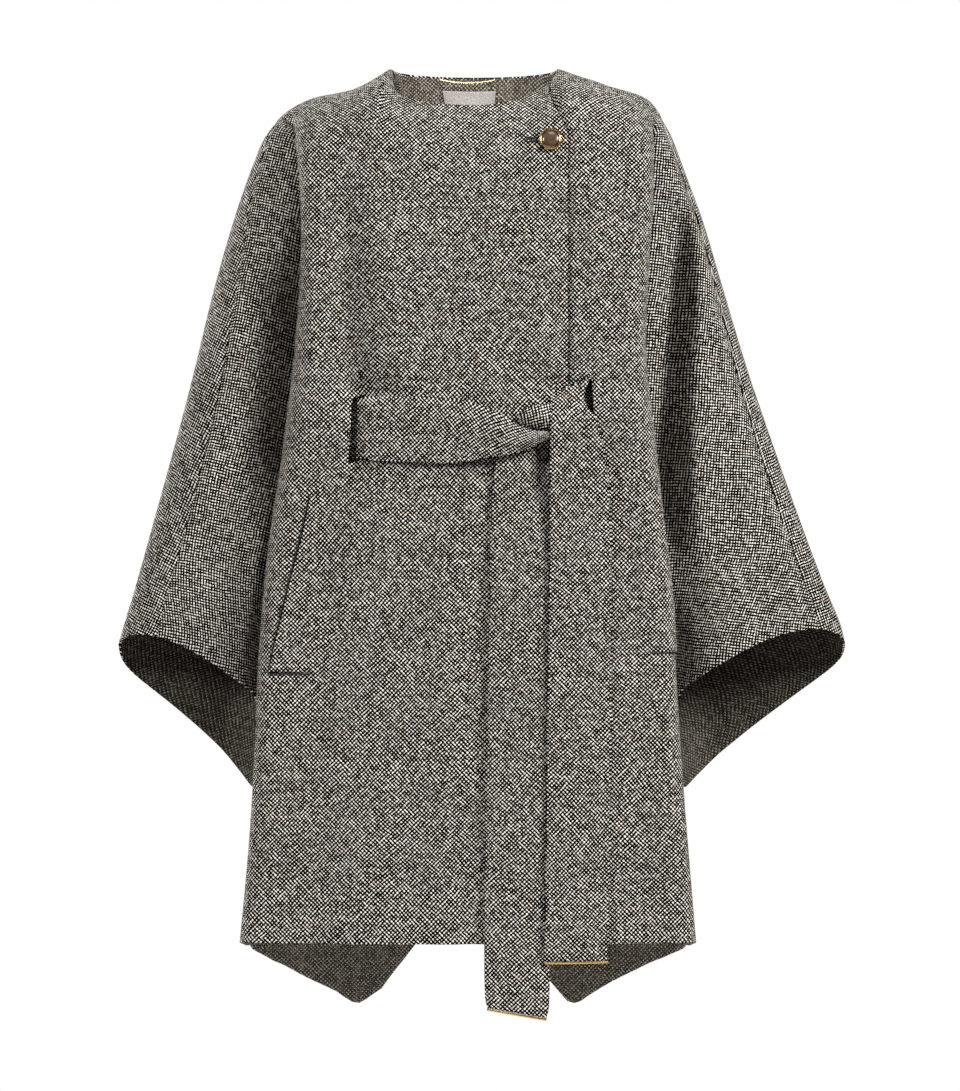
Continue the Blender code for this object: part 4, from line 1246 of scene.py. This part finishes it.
def make_front(side):
    """One front. The right one laps over, and the left one lies under it past the middle."""
    over = side == RIGHT
    rows = panel_rows()
    half = half_columns(side, FRONT)
    lap = finer([0.0, 1.0], settings().cloth.step / MIDDLE)[1:]
    columns = [-lapped for lapped in reversed(lap)] + half

    def place(column, row):
        if column < 0:
            column *= wrap_reach(row)
        edge = wrap_reach(row)
        ditch = ease(*LAP_DITCH_ROWS, row)
        rise = 1 - ease(edge, edge + LAP_RISE - LAP_STEEP * ditch, column)
        inset = 0.0 if over else (WALL + LAP_EASE + LAP_DITCH * ditch) * rise
        point = moved_out(FRONT, side * column, row, -inset)
        point.y += pit(point.x, point.z) - swell(FRONT, point.x, point.z)
        turn = min(max(column - FLAT_END, 0.0) / (CORNER_END - FLAT_END), 1.0)
        return point + corner_shift(side, point.z, math.pi / 2 * turn)

    cells = slit_cells(columns, rows, slit_span(side), *SLIT_ROWS[side])
    if over:
        last = len(columns) - 2
        cells = {(r, last - c) for r, c in cells}
        columns = columns[::-1]
    signed = [side * column for column in columns]
    points = [[place(column, row) for column in columns] for row in rows]
    lay = panel_grain(points, signed, rows)
    rests = ["back", "sleeve_front_" + side_name(side)]
    cloth_piece("front_" + side_name(side), points, lay, WALL, rests, cut=cells)


def make_back():
    """The back, in one piece."""
    rows = panel_rows()
    columns = [-column for column in reversed(half_columns(RIGHT, BACK))] + half_columns(LEFT, BACK)[1:]

    def place(column, row):
        point = panel_point(BACK, column, row)
        point.y += BACK * swell(BACK, point.x, point.z)
        return point

    points = [[place(column, row) for column in columns] for row in rows]
    lay = panel_grain(points, columns, rows)
    cloth_piece("back", points, lay, WALL, ["front_right", "front_left"], True)


def cap_point(side, face, share_down):
    """A point on the armhole's cap: 0 at the shoulder seam, 1 a little above the wing's first section."""
    return panel_point(face, side * SEAM_END, share_down * CAP_ROW)


def make_wing(side):
    """The two halves of a wing sleeve, split at the overarm seam."""
    cloth = settings().cloth
    name = side_name(side)
    rows = finer([WING_ROW, 1.0], ROUND_STEP)
    rows += finer([1.0, UNDERARM_ROW], cloth.step / (SHOULDER_DROP - FRONT_HEM))[1:]

    def sleeve_point(face, out, row, creased):
        point = wing_point(side, face, out, row)
        if not creased:
            return point
        point.y += face * wing_swell(side, face, out, point)
        if face == FRONT:
            seam = panel_point(FRONT, side * SEAM_END, row)
            from_seam = abs(point.x) - abs(seam.x)
            near = math.exp(-from_seam / HOLLOW_WIDTH)
            point.y += armhole_hollow(side, seam.z) * near
            point.x -= side * UNDERARM_TUCK * ease(*UNDERARM_TUCK_SPAN, point.z) * near
        return point

    def seam_start(face, row):
        return SEAM / wing_width(side, panel_point(face, side * SEAM_END, row))

    def pucker(row):
        """Small ripples along the overarm seam, of uneven length."""
        return cloth.pucker * noise.noise(Vector((side, PUCKER_RATE * row, 0.0)))

    def sink(row):
        """How deep the ditch of the overarm seam is."""
        spot = Vector((side, SINK_RATE * row, SINK_LAYER))
        return SEAM_SINK[side] * (1 + SINK_VARIES * noise.noise(spot))

    def front_place(column, row, creased=True):
        start = seam_start(FRONT, row)
        end = overarm_share(side, row, SEAM + pucker(row))
        point = sleeve_point(FRONT, start + (end - start) * column ** WING_FRONT_CROWD, row, creased)
        point.y += sink(row) * math.exp(-(1 - column) / SEAM_ROLL)
        return point

    def back_place(column, row, creased=True):
        seam_turn = math.asin(overarm_share(side, row, pucker(row)) ** (WING_FULLNESS / 2))
        if column <= FOLD_SHARE:
            turn = seam_turn + (math.pi / 2 - seam_turn) * column / FOLD_SHARE
            point = sleeve_point(FRONT, math.sin(turn) ** (2 / WING_FULLNESS), row, creased)
            point.y += sink(row) * math.exp(-column / SEAM_ROLL)
            return point
        left_over = (1 - column) / (1 - FOLD_SHARE)
        out = math.sin(math.pi / 2 * left_over ** WING_BACK_CROWD) ** (2 / WING_FULLNESS)
        return sleeve_point(BACK, max(out, seam_start(BACK, row)), row, creased)

    def head(place, cap, column):
        """Rows over the sleeve head, rounded from the armhole's cap into the first section."""
        first, second = place(column, rows[0]), place(column, rows[1])
        reach = (first - cap).length / 2
        pull = first + (first - second).normalized() * reach
        points = []
        for k in range(HEAD_STEPS):
            t = k / HEAD_STEPS
            points.append(cap * (1 - t) ** 2 + pull * (2 * t * (1 - t)) + first * t * t)
        return points

    def half(node, columns, place, cap, angle):
        heads = [head(place, cap(column), column) for column in columns]
        top = [[line[k] for line in heads] for k in range(HEAD_STEPS)]
        points = top + [[place(column, row) for column in columns] for row in rows]
        smooth = top + [[place(column, row, False) for column in columns] for row in rows]
        halfway = [[a.lerp(b, GRAIN_FOLLOW) for a, b in zip(*lines)] for lines in zip(smooth, points)]
        # The wings' inner face takes the inside cloth darkened as painted shade
        lay, faces = level_grain(halfway, HEAD_STEPS), ("tweed", "wing_inside")
        cloth_piece(node, points, lay, WALL, ["back"], side == RIGHT, faces=faces, bias=angle)

    half(
        "sleeve_front_" + name,
        finer([0.0, 1.0], 1 / WING_FRONT_STEPS),
        front_place,
        lambda column: cap_point(side, FRONT, 1 - column),
        WING_BIAS[side],
    )
    half(
        "sleeve_back_" + name,
        finer([0.0, FOLD_SHARE, 1.0], 1 / WING_BACK_STEPS),
        back_place,
        lambda column: cap_point(side, BACK, column),
        FOLD_BIAS[side],
    )


def make_welt(side):
    """A pocket welt, flush along its inner edge and proud along its outer one, with a painted shadow line:
    a dark rod beside its outer edge and below its lower end.
    """
    name = side_name(side)

    def reach(across, z):
        return along(WELT, "z", name, z) + along(WELT, "z", "width", z) * across

    def over_front(distance, z, lift):
        """A point over the creased front."""
        flat = front_point(side, distance, z, 0.0)
        return front_point(side, distance, z, lift + swell(FRONT, flat.x, z))

    def place(across, z):
        proud = WELT_FLUSH + (WELT_PROUD - WELT_FLUSH) * across
        return over_front(reach(across, z), z + WELT_RISE[side], proud)

    def beside(across, z):
        """A point on the front, just clear of an edge of the welt."""
        distance = reach(across, z) + WELT_SHADOW_LINE * ease(WELT_SHADOW_LINE_START, 1.0, across)
        clear = WELT_SHADOW_LINE * ease(WELT[0].z + WELT_SHADOW_LINE_ROUND, WELT[0].z, z)
        return over_front(distance, z + (WELT_RISE[side] - clear), WELT_SHADOW_LINE / 4)

    heights = finer([WELT[-1].z, WELT[0].z], settings().cloth.step)
    shares = finer([0.0, 1.0], 1 / WELT_STEPS)
    points = [[place(across, z) for across in shares] for z in heights]
    lay = level_grain(points)
    cloth_piece("welt_" + name, points, lay, WELT_WALL, ["front_" + name], side == RIGHT)
    # Painted shadow: dark rods lie on the front beside the welt's outer edge and below its lower end,
    # standing in for the shade along the pocket's mouth
    outer = [beside(1.0, z) for z in heights]
    bottom = [beside(across, WELT[0].z) for across in shares]
    rods("welt_seam_" + name, [outer, bottom], WELT_SHADOW_LINE / 2, "thread")


def on_front(x, z, lift):
    """A point over the front, lift away from its creased cloth."""
    return Vector((x, -depth_at(FRONT, x, z) - swell(FRONT, x, z) - lift, z))


def pit(x, z):
    """How far the cloth under the knot is drawn in."""
    return PIT_DEPTH * math.exp(-(((x - PIT_X) / PIT_WIDTH) ** 2) - ((z - PIT_Z) / PIT_HEIGHT) ** 2)


def knot_fold(x, z):
    """How far the belt's turned edge stands over the rest of the band, near the knot."""
    if x < KNOT_FOLD[0].x:
        return 0.0
    below = along(KNOT_FOLD, "x", "z", x) - z
    height = KNOT_FOLD_HEIGHT * ease(KNOT_FOLD[0].x, KNOT_FOLD_FULL, x)
    hollow = math.exp(-(((below + KNOT_HOLLOW) / KNOT_HOLLOW) ** 2))
    return height * (ease(*KNOT_FOLD_EDGE, below) - KNOT_HOLLOW_SHARE * hollow)


def gathers(x, z):
    """Small pleats that run out of the knot."""
    away_x, away_z = x - KNOT_X, z - KNOT_Z
    distance = math.hypot(away_x, away_z)
    pleat = math.sin(GATHER_COUNT * math.atan2(away_z, -away_x))
    return GATHER_HEIGHT * pleat * ease(*GATHER_START, distance) * (1 - ease(*GATHER_END, distance))


def make_band(name, cuts):
    """A stretch of the belt that runs across the front."""

    def drop(x, down):
        return (along(cuts, "x", "top", x) - along(cuts, "x", "bottom", x)) * down

    def place(x, down):
        z = along(cuts, "x", "top", x) - drop(x, down)
        puff = along(cuts, "x", "puff", x) * math.sin(math.pi * down)
        lift = along(cuts, "x", "lift", x) + puff + gathers(x, z)
        if cuts is BAND:
            lift += knot_fold(x, z) + BAND_HANG * down * down
        return on_front(x, z, lift + BELT_WALL)

    full = max(row.top - row.bottom for row in cuts)

    def lay(x, down):
        return x, -BELT_GATHER * full * down - (1 - BELT_GATHER) * drop(x, down)

    stops = finer([row.x for row in cuts], BELT_STEP)
    shares = finer([0.0, 1.0], 1 / BELT_ACROSS_STEPS)
    points, flat = ([[spot(x, down) for x in stops] for down in shares] for spot in (place, lay))
    bias = LOOP_BIAS if cuts is LOOP else 0.0
    cloth_piece(name, points, flat, BELT_WALL, ["front_right", "front_left"], bias=bias)


def make_tail(name, cuts):
    """A hanging end of the belt, with the metal bar along its edge."""

    def place(across, drop):
        left, right, slant, lift, right_lift = (along(cuts, "drop", column, drop) for column in TAIL_READ)
        x, z = left + (right - left) * across, slant * across - drop
        lift += (right_lift - lift) * across
        settled = ease(TAIL_RIPPLE_TOP, TAIL_RIPPLE_END, drop)
        wave = math.sin(TAIL_RIPPLE_COUNT * math.pi * across ** TAIL_RIPPLE_CROWD)
        ripple = TAIL_RIPPLE * (1 - settled) * (1 + wave)
        bow = TAIL_BOW * (1 - (2 * across - 1) ** 2)
        hang = TAIL_SWAY * settings().cloth.sway * (1 + uneven("tail", 1, x, z)) * settled
        if cuts is TAIL_SHORT:
            lift += CAVITY * (1 - across) ** 2 * math.exp(-(((drop - CAVITY_DROP) / CAVITY_SPAN) ** 2))
        else:
            lift += TAIL_GATHER * gathers(x, z) - pit(x, z)
        return on_front(x, z, lift + ripple + bow + hang + BELT_WALL)

    drops = finer([row.drop for row in cuts], settings().cloth.step)
    shares = finer([0.0, 1.0], 1 / BELT_ACROSS_STEPS)
    points = [[place(across, drop) for across in shares] for drop in drops]
    cloth_piece("belt_tail_" + name, points, level_grain(points), BELT_WALL, ["belt_band"])
    below = Vector((0, BELT_WALL / 2, -BAR_RADIUS - SEAM))
    bar = [point + below for point in points[-1]]
    rods("belt_bar_%s_rod" % name, [bar], BAR_RADIUS, "brass", "belt_bar_" + name)


def inner_belt_path():
    """Points of the belt inside the body, from the right slit round the back to the left slit."""
    corners = (
        (RIGHT, -INNER_BELT_FRONT, math.pi / 2),
        (RIGHT, INNER_BELT_BACK, 0.0),
        (LEFT, INNER_BELT_BACK, -math.pi / 2),
        (LEFT, -INNER_BELT_FRONT, math.pi),
    )
    points = [(RIGHT * INNER_BELT_START[RIGHT], -INNER_BELT_SLIT)]
    for side, y, start in corners:
        middle_x = side * (INNER_BELT_HALF[side] - INNER_BELT_CORNER)
        middle_y = y - math.copysign(INNER_BELT_CORNER, y)
        for k in range(INNER_BELT_CORNER_STEPS + 1):
            turn = start - math.pi / 2 * k / INNER_BELT_CORNER_STEPS
            x = middle_x - INNER_BELT_CORNER * math.cos(turn)
            points.append((x, middle_y - INNER_BELT_CORNER * math.sin(turn)))
    return points + [(LEFT * INNER_BELT_START[LEFT], -INNER_BELT_SLIT)]


def make_inner_belt():
    """The belt inside the body, straight between its corners."""
    heights = finer([INNER_BELT_TOP, INNER_BELT_LOW], INNER_BELT_ROW)
    spots = inner_belt_path()
    path = [spots[0]]
    for before, after in zip(spots, spots[1:]):
        count = max(1, math.ceil(math.dist(before, after) / INNER_BELT_STEP))
        path += [tuple(b + (a - b) * (k + 1) / count for b, a in zip(before, after)) for k in range(count)]
    points = [[Vector((x, y, z)) for x, y in path] for z in heights]
    cloth_piece("belt_back", points, strip_grain(points), BELT_WALL, ["front_right"], True)


def mesh_piece(name, points, faces, material, node=None):
    """A smooth mesh from points and faces."""
    mesh = bpy.data.meshes.new(name)
    mesh.from_pydata(points, [], faces)
    mesh.validate()
    mesh.shade_smooth()
    return placed(name, mesh, material, node)


def ring_faces(rings, around):
    """Faces that join rings of points into a closed piece."""
    last = (rings - 1) * around
    faces = [tuple(range(around)), tuple(reversed(range(last, last + around)))]
    for low in range(0, last, around):
        for k in range(around):
            after = (k + 1) % around
            faces.append((low + k, low + around + k, low + around + after, low + after))
    return faces


def button_frame():
    normal = panel_normal(FRONT, BUTTON_ACROSS, BUTTON_ROW)
    place = normal.to_track_quat("Z", "Y").to_matrix().to_4x4()
    place.translation = moved_out(FRONT, BUTTON_ACROSS, BUTTON_ROW, BUTTON_GAP)
    return place


def turned_piece(name, profile, shape, material, node):
    """A turned piece: shape(radius, height, angle) may cut notches into the profile."""
    place = button_frame()
    around = BUTTON_STEPS
    points = []
    for radius, height in profile:
        for k in range(around):
            angle = 2 * math.pi * k / around
            r, h = shape(radius, height, angle)
            points.append(place @ Vector((r * math.cos(angle), r * math.sin(angle), h)))
    mesh_piece(name, points, ring_faces(len(profile), around), material, node)


def rounded_profile(rows):
    """A smooth profile through the rows of a turned piece."""
    keys = table("at radius height", *((float(at), *row) for at, row in enumerate(rows)))
    stops = finer([key.at for key in keys], 1 / BUTTON_ROUNDING)
    profile = [(along(keys, "at", "radius", stop), along(keys, "at", "height", stop)) for stop in stops]
    return [(max(radius, BUTTON_CORE), height) for radius, height in profile]


def make_button():
    """A metal rim with fine notches round a set, domed face."""
    beads = settings().trim.beads

    def notched(radius, height, angle):
        outer = ease(RIM_NOTCH_START, RIM_NOTCH_FULL, radius)
        notch = outer * NOTCH_DEPTH * (0.5 - 0.5 * math.cos(beads * angle)) ** NOTCH_SHARP
        groove = GROOVE_DEPTH * math.exp(-(((radius - GROOVE_RADIUS) / GROOVE_WIDTH) ** 2))
        return radius - notch, height - NOTCH_FALL * notch - groove * (height > GROOVE_LOW)

    def plain(radius, height, angle):
        return radius, height

    turned_piece("button_rim_beaded", rounded_profile(BUTTON_RIM), notched, "brass", "button_rim")
    turned_piece("button_face_domed", rounded_profile(BUTTON_FACE), plain, "horn", "button_face")


def front_spot(x, z):
    """Where across and down the front a place lies, found by repeated corrections."""
    across, row = x / MIDDLE, HOLE_ROW
    for _ in range(HOLE_CORRECTIONS):
        point = panel_point(FRONT, across, row)
        across += (x - point.x) / MIDDLE
        row += (point.z - z) / SHOULDER_DROP
    return across, row


def rods(name, runs, radius, material, node=None):
    """Round rods or stitches, each along a line of points."""
    curve = bpy.data.curves.new(name, "CURVE")
    curve.dimensions = "3D"
    curve.bevel_depth = radius
    curve.bevel_resolution = ROD_ROUNDING
    curve.use_fill_caps = True
    for run in runs:
        spline = curve.splines.new("POLY")
        spline.points.add(len(run) - 1)
        for spot, point in zip(spline.points, run):
            spot.co = (*point, 1.0)
    return placed(name, curve, material, node)


def make_buttonhole():
    """A stitched keyhole beside the button, with its eyelet away from it."""
    across, row = front_spot((HOLE_START + HOLE_END) / 2, HOLE_Z)
    normal = panel_normal(FRONT, across, row)
    middle = panel_point(FRONT, across, row)
    level = Vector((1.0, 0.0, 0.0))
    level = (level - normal * level.dot(normal)).normalized()
    rise = normal.cross(level)
    half = (HOLE_END - HOLE_START) / 2 - HOLE_EYELET

    def spot(along_hole, up, lift):
        return middle + level * along_hole + rise * up + normal * lift

    outline = []
    for k in range(HOLE_STEPS + 1):
        angle = math.pi * (HOLE_MOUTH + 2 * (1 - HOLE_MOUTH) * k / HOLE_STEPS)
        outline.append(spot(HOLE_EYELET * math.cos(angle) - half, HOLE_EYELET * math.sin(angle), HOLE_LIFT))
    outline.insert(0, spot(half, HOLE_SLOT, HOLE_LIFT))
    outline.append(spot(half, -HOLE_SLOT, HOLE_LIFT))
    runs = [outline]
    for k in range(HOLE_STITCHES):
        s = half * (2 * k / (HOLE_STITCHES - 1) - 1)
        for sign in (-1, 1):
            inner, outer = sign * HOLE_SLOT, sign * (HOLE_SLOT + HOLE_BITE)
            runs.append([spot(s, inner, HOLE_LIFT), spot(s, outer, 0.0)])
    rods("buttonhole", runs, HOLE_THREAD, "thread")


def make_hanger():
    """A fine metal chain across the back neck, its links close together."""
    links = settings().trim.links
    path = []
    count = links * LINK_STEPS
    for k in range(count + 1):
        s = k / count
        bow = math.sin(math.pi * s)
        inset = WALL + NECK_GAP + HANGER_RADIUS + HANGER_BOW * bow
        across = HANGER_ENDS[0] + (HANGER_ENDS[1] - HANGER_ENDS[0]) * s
        path.append(moved_out(BACK, across, HANGER_ROW, -inset) - Vector((0, 0, HANGER_SAG * bow)))
    points = []
    for k, centre in enumerate(path):
        before, after = path[max(k - 1, 0)], path[min(k + 1, count)]
        run = (after - before).normalized()
        up = Vector((0, 0, 1))
        side = run.cross(up).normalized()
        up = side.cross(run)
        waist = HANGER_RADIUS * (1 - LINK_WAIST * math.cos(math.pi * k / LINK_STEPS) ** LINK_SHARP)
        for n in range(HANGER_SIDES):
            turn = 2 * math.pi * n / HANGER_SIDES
            points.append(centre + (side * math.cos(turn) + up * math.sin(turn)) * waist)
    faces = [(first, *reversed(rest)) for first, *rest in ring_faces(len(path), HANGER_SIDES)]
    mesh_piece("hanger_chain", points, faces, "pale_gold", "hanger")


def make_label():
    """A bare woven label, sewn down along its two short ends."""
    (first, last), (top, low) = LABEL_ENDS, LABEL_ROWS
    under = WALL + NECK_GAP

    def place(across, row):
        s, t = (across - first) / (last - first), (row - top) / (low - top)
        slack = LABEL_SLACK * math.sin(math.pi * s) ** LABEL_FLAT
        slack *= (1 - LABEL_SAG) + LABEL_SAG * math.sin(math.pi * t)
        return moved_out(BACK, across, row, -under - slack)

    columns, rows = finer([first, last], LABEL_STEP), finer([top, low], LABEL_ROW)
    points = [[place(across, row) for across in columns] for row in rows]
    lay, faces = strip_grain(points), ("ribbon", "ribbon")
    label = cloth_piece("label", points, lay, LABEL_WALL, ["back"], True, faces=faces)
    each = (low - top) / LABEL_STITCHES
    runs = []
    for across in (first + LABEL_MARGIN, last - LABEL_MARGIN):
        for k in range(LABEL_STITCHES):
            start = top + (k + STITCH_START) * each
            ends = (start, start + STITCH_SHARE * each)
            runs.append([moved_out(BACK, across, row, -under - LABEL_WALL - STITCH_LIFT) for row in ends])
    stitches = rods("label_stitches", runs, LABEL_THREAD, "ribbon")
    stitches.parent = label


def soft_light(name, place, aim, size, watts):
    """A soft round lamp that the camera doesn't see."""
    data = bpy.data.lights.new(name, "AREA")
    data.shape = "DISK"
    data.size = size
    data.energy = watts
    lamp = bpy.data.objects.new(name, data)
    lamp.location = place
    lamp.rotation_euler = (Vector(aim) - Vector(place)).to_track_quat("-Z", "Y").to_euler()
    lamp.visible_camera = False
    bpy.context.scene.collection.objects.link(lamp)


def make_sky(strength):
    """White to the camera, and a softer light on the cloth."""
    world = bpy.data.worlds.new("studio")
    world.use_nodes = True
    nodes, links = world.node_tree.nodes, world.node_tree.links
    backdrop = nodes["Background"]
    backdrop.inputs["Color"].default_value = WHITE
    light = nodes.new("ShaderNodeBackground")
    light.inputs["Color"].default_value = SKY_TONE
    light.inputs["Strength"].default_value = strength
    seen = nodes.new("ShaderNodeLightPath")
    mix = nodes.new("ShaderNodeMixShader")
    links.new(seen.outputs["Is Camera Ray"], mix.inputs["Fac"])
    links.new(light.outputs["Background"], mix.inputs[1])
    links.new(backdrop.outputs["Background"], mix.inputs[2])
    links.new(mix.outputs["Shader"], nodes["World Output"].inputs["Surface"])
    bpy.context.scene.world = world


def make_floor():
    stage = settings().stage
    mesh = bpy.data.meshes.new("floor")
    disc = bmesh.new()
    bmesh.ops.create_circle(disc, cap_ends=True, segments=FLOOR_SIDES, radius=stage.floor_radius)
    disc.to_mesh(mesh)
    disc.free()
    floor = bpy.data.objects.new("floor", mesh)
    floor.location = (0.0, 0.0, -stage.floor_drop)
    bpy.context.scene.collection.objects.link(floor)
    paper = Finish("floor")
    tone = paper.blend(paper.cloud(paper.place(), FLOOR_SCALE), *FLOOR_TONES)
    mesh.materials.append(paper.set(Base_Color=tone, Roughness=0.9))


def make_camera():
    """Level with the middle of the cape, at the photo's scale."""
    stage = settings().stage
    data = bpy.data.cameras.new("camera")
    data.sensor_width = SENSOR
    data.lens = SENSOR * stage.distance / (PHOTO_HEIGHT * stage.pixel)
    camera = bpy.data.objects.new("camera", data)
    camera.location = Vector(stage.aim) - Vector((0.0, stage.distance, 0.0))
    camera.rotation_euler = (math.pi / 2, 0.0, 0.0)
    bpy.context.scene.collection.objects.link(camera)
    bpy.context.scene.camera = camera


class CAPE_OT_fronts(bpy.types.Operator):
    """Hangs the two fronts, the right one lapped over the left"""

    bl_idname = "cape.fronts"
    bl_label = "Fronts"

    def execute(self, context):
        for side in (RIGHT, LEFT):
            make_front(side)
        return {"FINISHED"}


class CAPE_OT_back(bpy.types.Operator):
    """Hangs the back with its two long points"""

    bl_idname = "cape.back"
    bl_label = "Back"

    def execute(self, context):
        make_back()
        return {"FINISHED"}


class CAPE_OT_wings(bpy.types.Operator):
    """Sets the two wing sleeves, each in two halves"""

    bl_idname = "cape.wings"
    bl_label = "Wing Sleeves"

    def execute(self, context):
        for side in (RIGHT, LEFT):
            make_wing(side)
        return {"FINISHED"}


class CAPE_OT_welts(bpy.types.Operator):
    """Lays the two pocket welts on the fronts"""

    bl_idname = "cape.welts"
    bl_label = "Pocket Welts"

    def execute(self, context):
        for side in (RIGHT, LEFT):
            make_welt(side)
        return {"FINISHED"}


class CAPE_OT_belt(bpy.types.Operator):
    """Ties the belt: the band, the knot, the two ends with their bars and the stretch inside"""

    bl_idname = "cape.belt"
    bl_label = "Belt"

    def execute(self, context):
        make_band("belt_band", BAND)
        make_band("belt_loop", LOOP)
        make_band("belt_return", RETURN)
        make_tail("long", TAIL_LONG)
        make_tail("short", TAIL_SHORT)
        make_inner_belt()
        return {"FINISHED"}


class CAPE_OT_button(bpy.types.Operator):
    """Sews on the button and works its buttonhole"""

    bl_idname = "cape.button"
    bl_label = "Button"

    def execute(self, context):
        make_button()
        make_buttonhole()
        return {"FINISHED"}


class CAPE_OT_neck_trim(bpy.types.Operator):
    """Adds the hanger chain and the bare label inside the back neck"""

    bl_idname = "cape.neck_trim"
    bl_label = "Hanger and Label"

    def execute(self, context):
        make_hanger()
        make_label()
        return {"FINISHED"}


class CAPE_OT_stage(bpy.types.Operator):
    """Sets the floor, the light and the camera"""

    bl_idname = "cape.stage"
    bl_label = "Stage"

    def execute(self, context):
        stage = settings().stage
        make_floor()
        make_sky(stage.sky)
        for name, place, size in LAMPS:
            aim = NECK_AIM if name == "neck" else stage.aim
            soft_light(name, place, aim, size, getattr(stage, name))
        make_camera()
        context.scene.view_settings.view_transform = "Standard"
        return {"FINISHED"}


class CAPE_PT_tools(bpy.types.Panel):
    """Lists the steps that dress the cape"""

    bl_idname = "CAPE_PT_tools"
    bl_label = "Tweed Cape"
    bl_space_type = "VIEW_3D"
    bl_region_type = "UI"
    bl_category = "Cape"

    def draw(self, context):
        for operator in OPERATORS:
            self.layout.operator(operator.bl_idname)


GROUPS = (ClothSettings, TweedSettings, TrimSettings, StageSettings, CapeSettings)
OPERATORS = (
    CAPE_OT_fronts,
    CAPE_OT_back,
    CAPE_OT_wings,
    CAPE_OT_welts,
    CAPE_OT_belt,
    CAPE_OT_button,
    CAPE_OT_neck_trim,
    CAPE_OT_stage,
)


def register():
    for group in (*GROUPS, *OPERATORS, CAPE_PT_tools):
        bpy.utils.register_class(group)
    bpy.types.Scene.cape = PointerProperty(name="Cape", description="Tweed cape", type=CapeSettings)


def unregister():
    del bpy.types.Scene.cape
    for group in reversed((*GROUPS, *OPERATORS, CAPE_PT_tools)):
        bpy.utils.unregister_class(group)


def main():
    register()
    bpy.ops.cape.fronts()
    bpy.ops.cape.back()
    bpy.ops.cape.wings()
    bpy.ops.cape.welts()
    bpy.ops.cape.belt()
    bpy.ops.cape.button()
    bpy.ops.cape.neck_trim()
    bpy.ops.cape.stage()


if __name__ == "__main__":
    main()
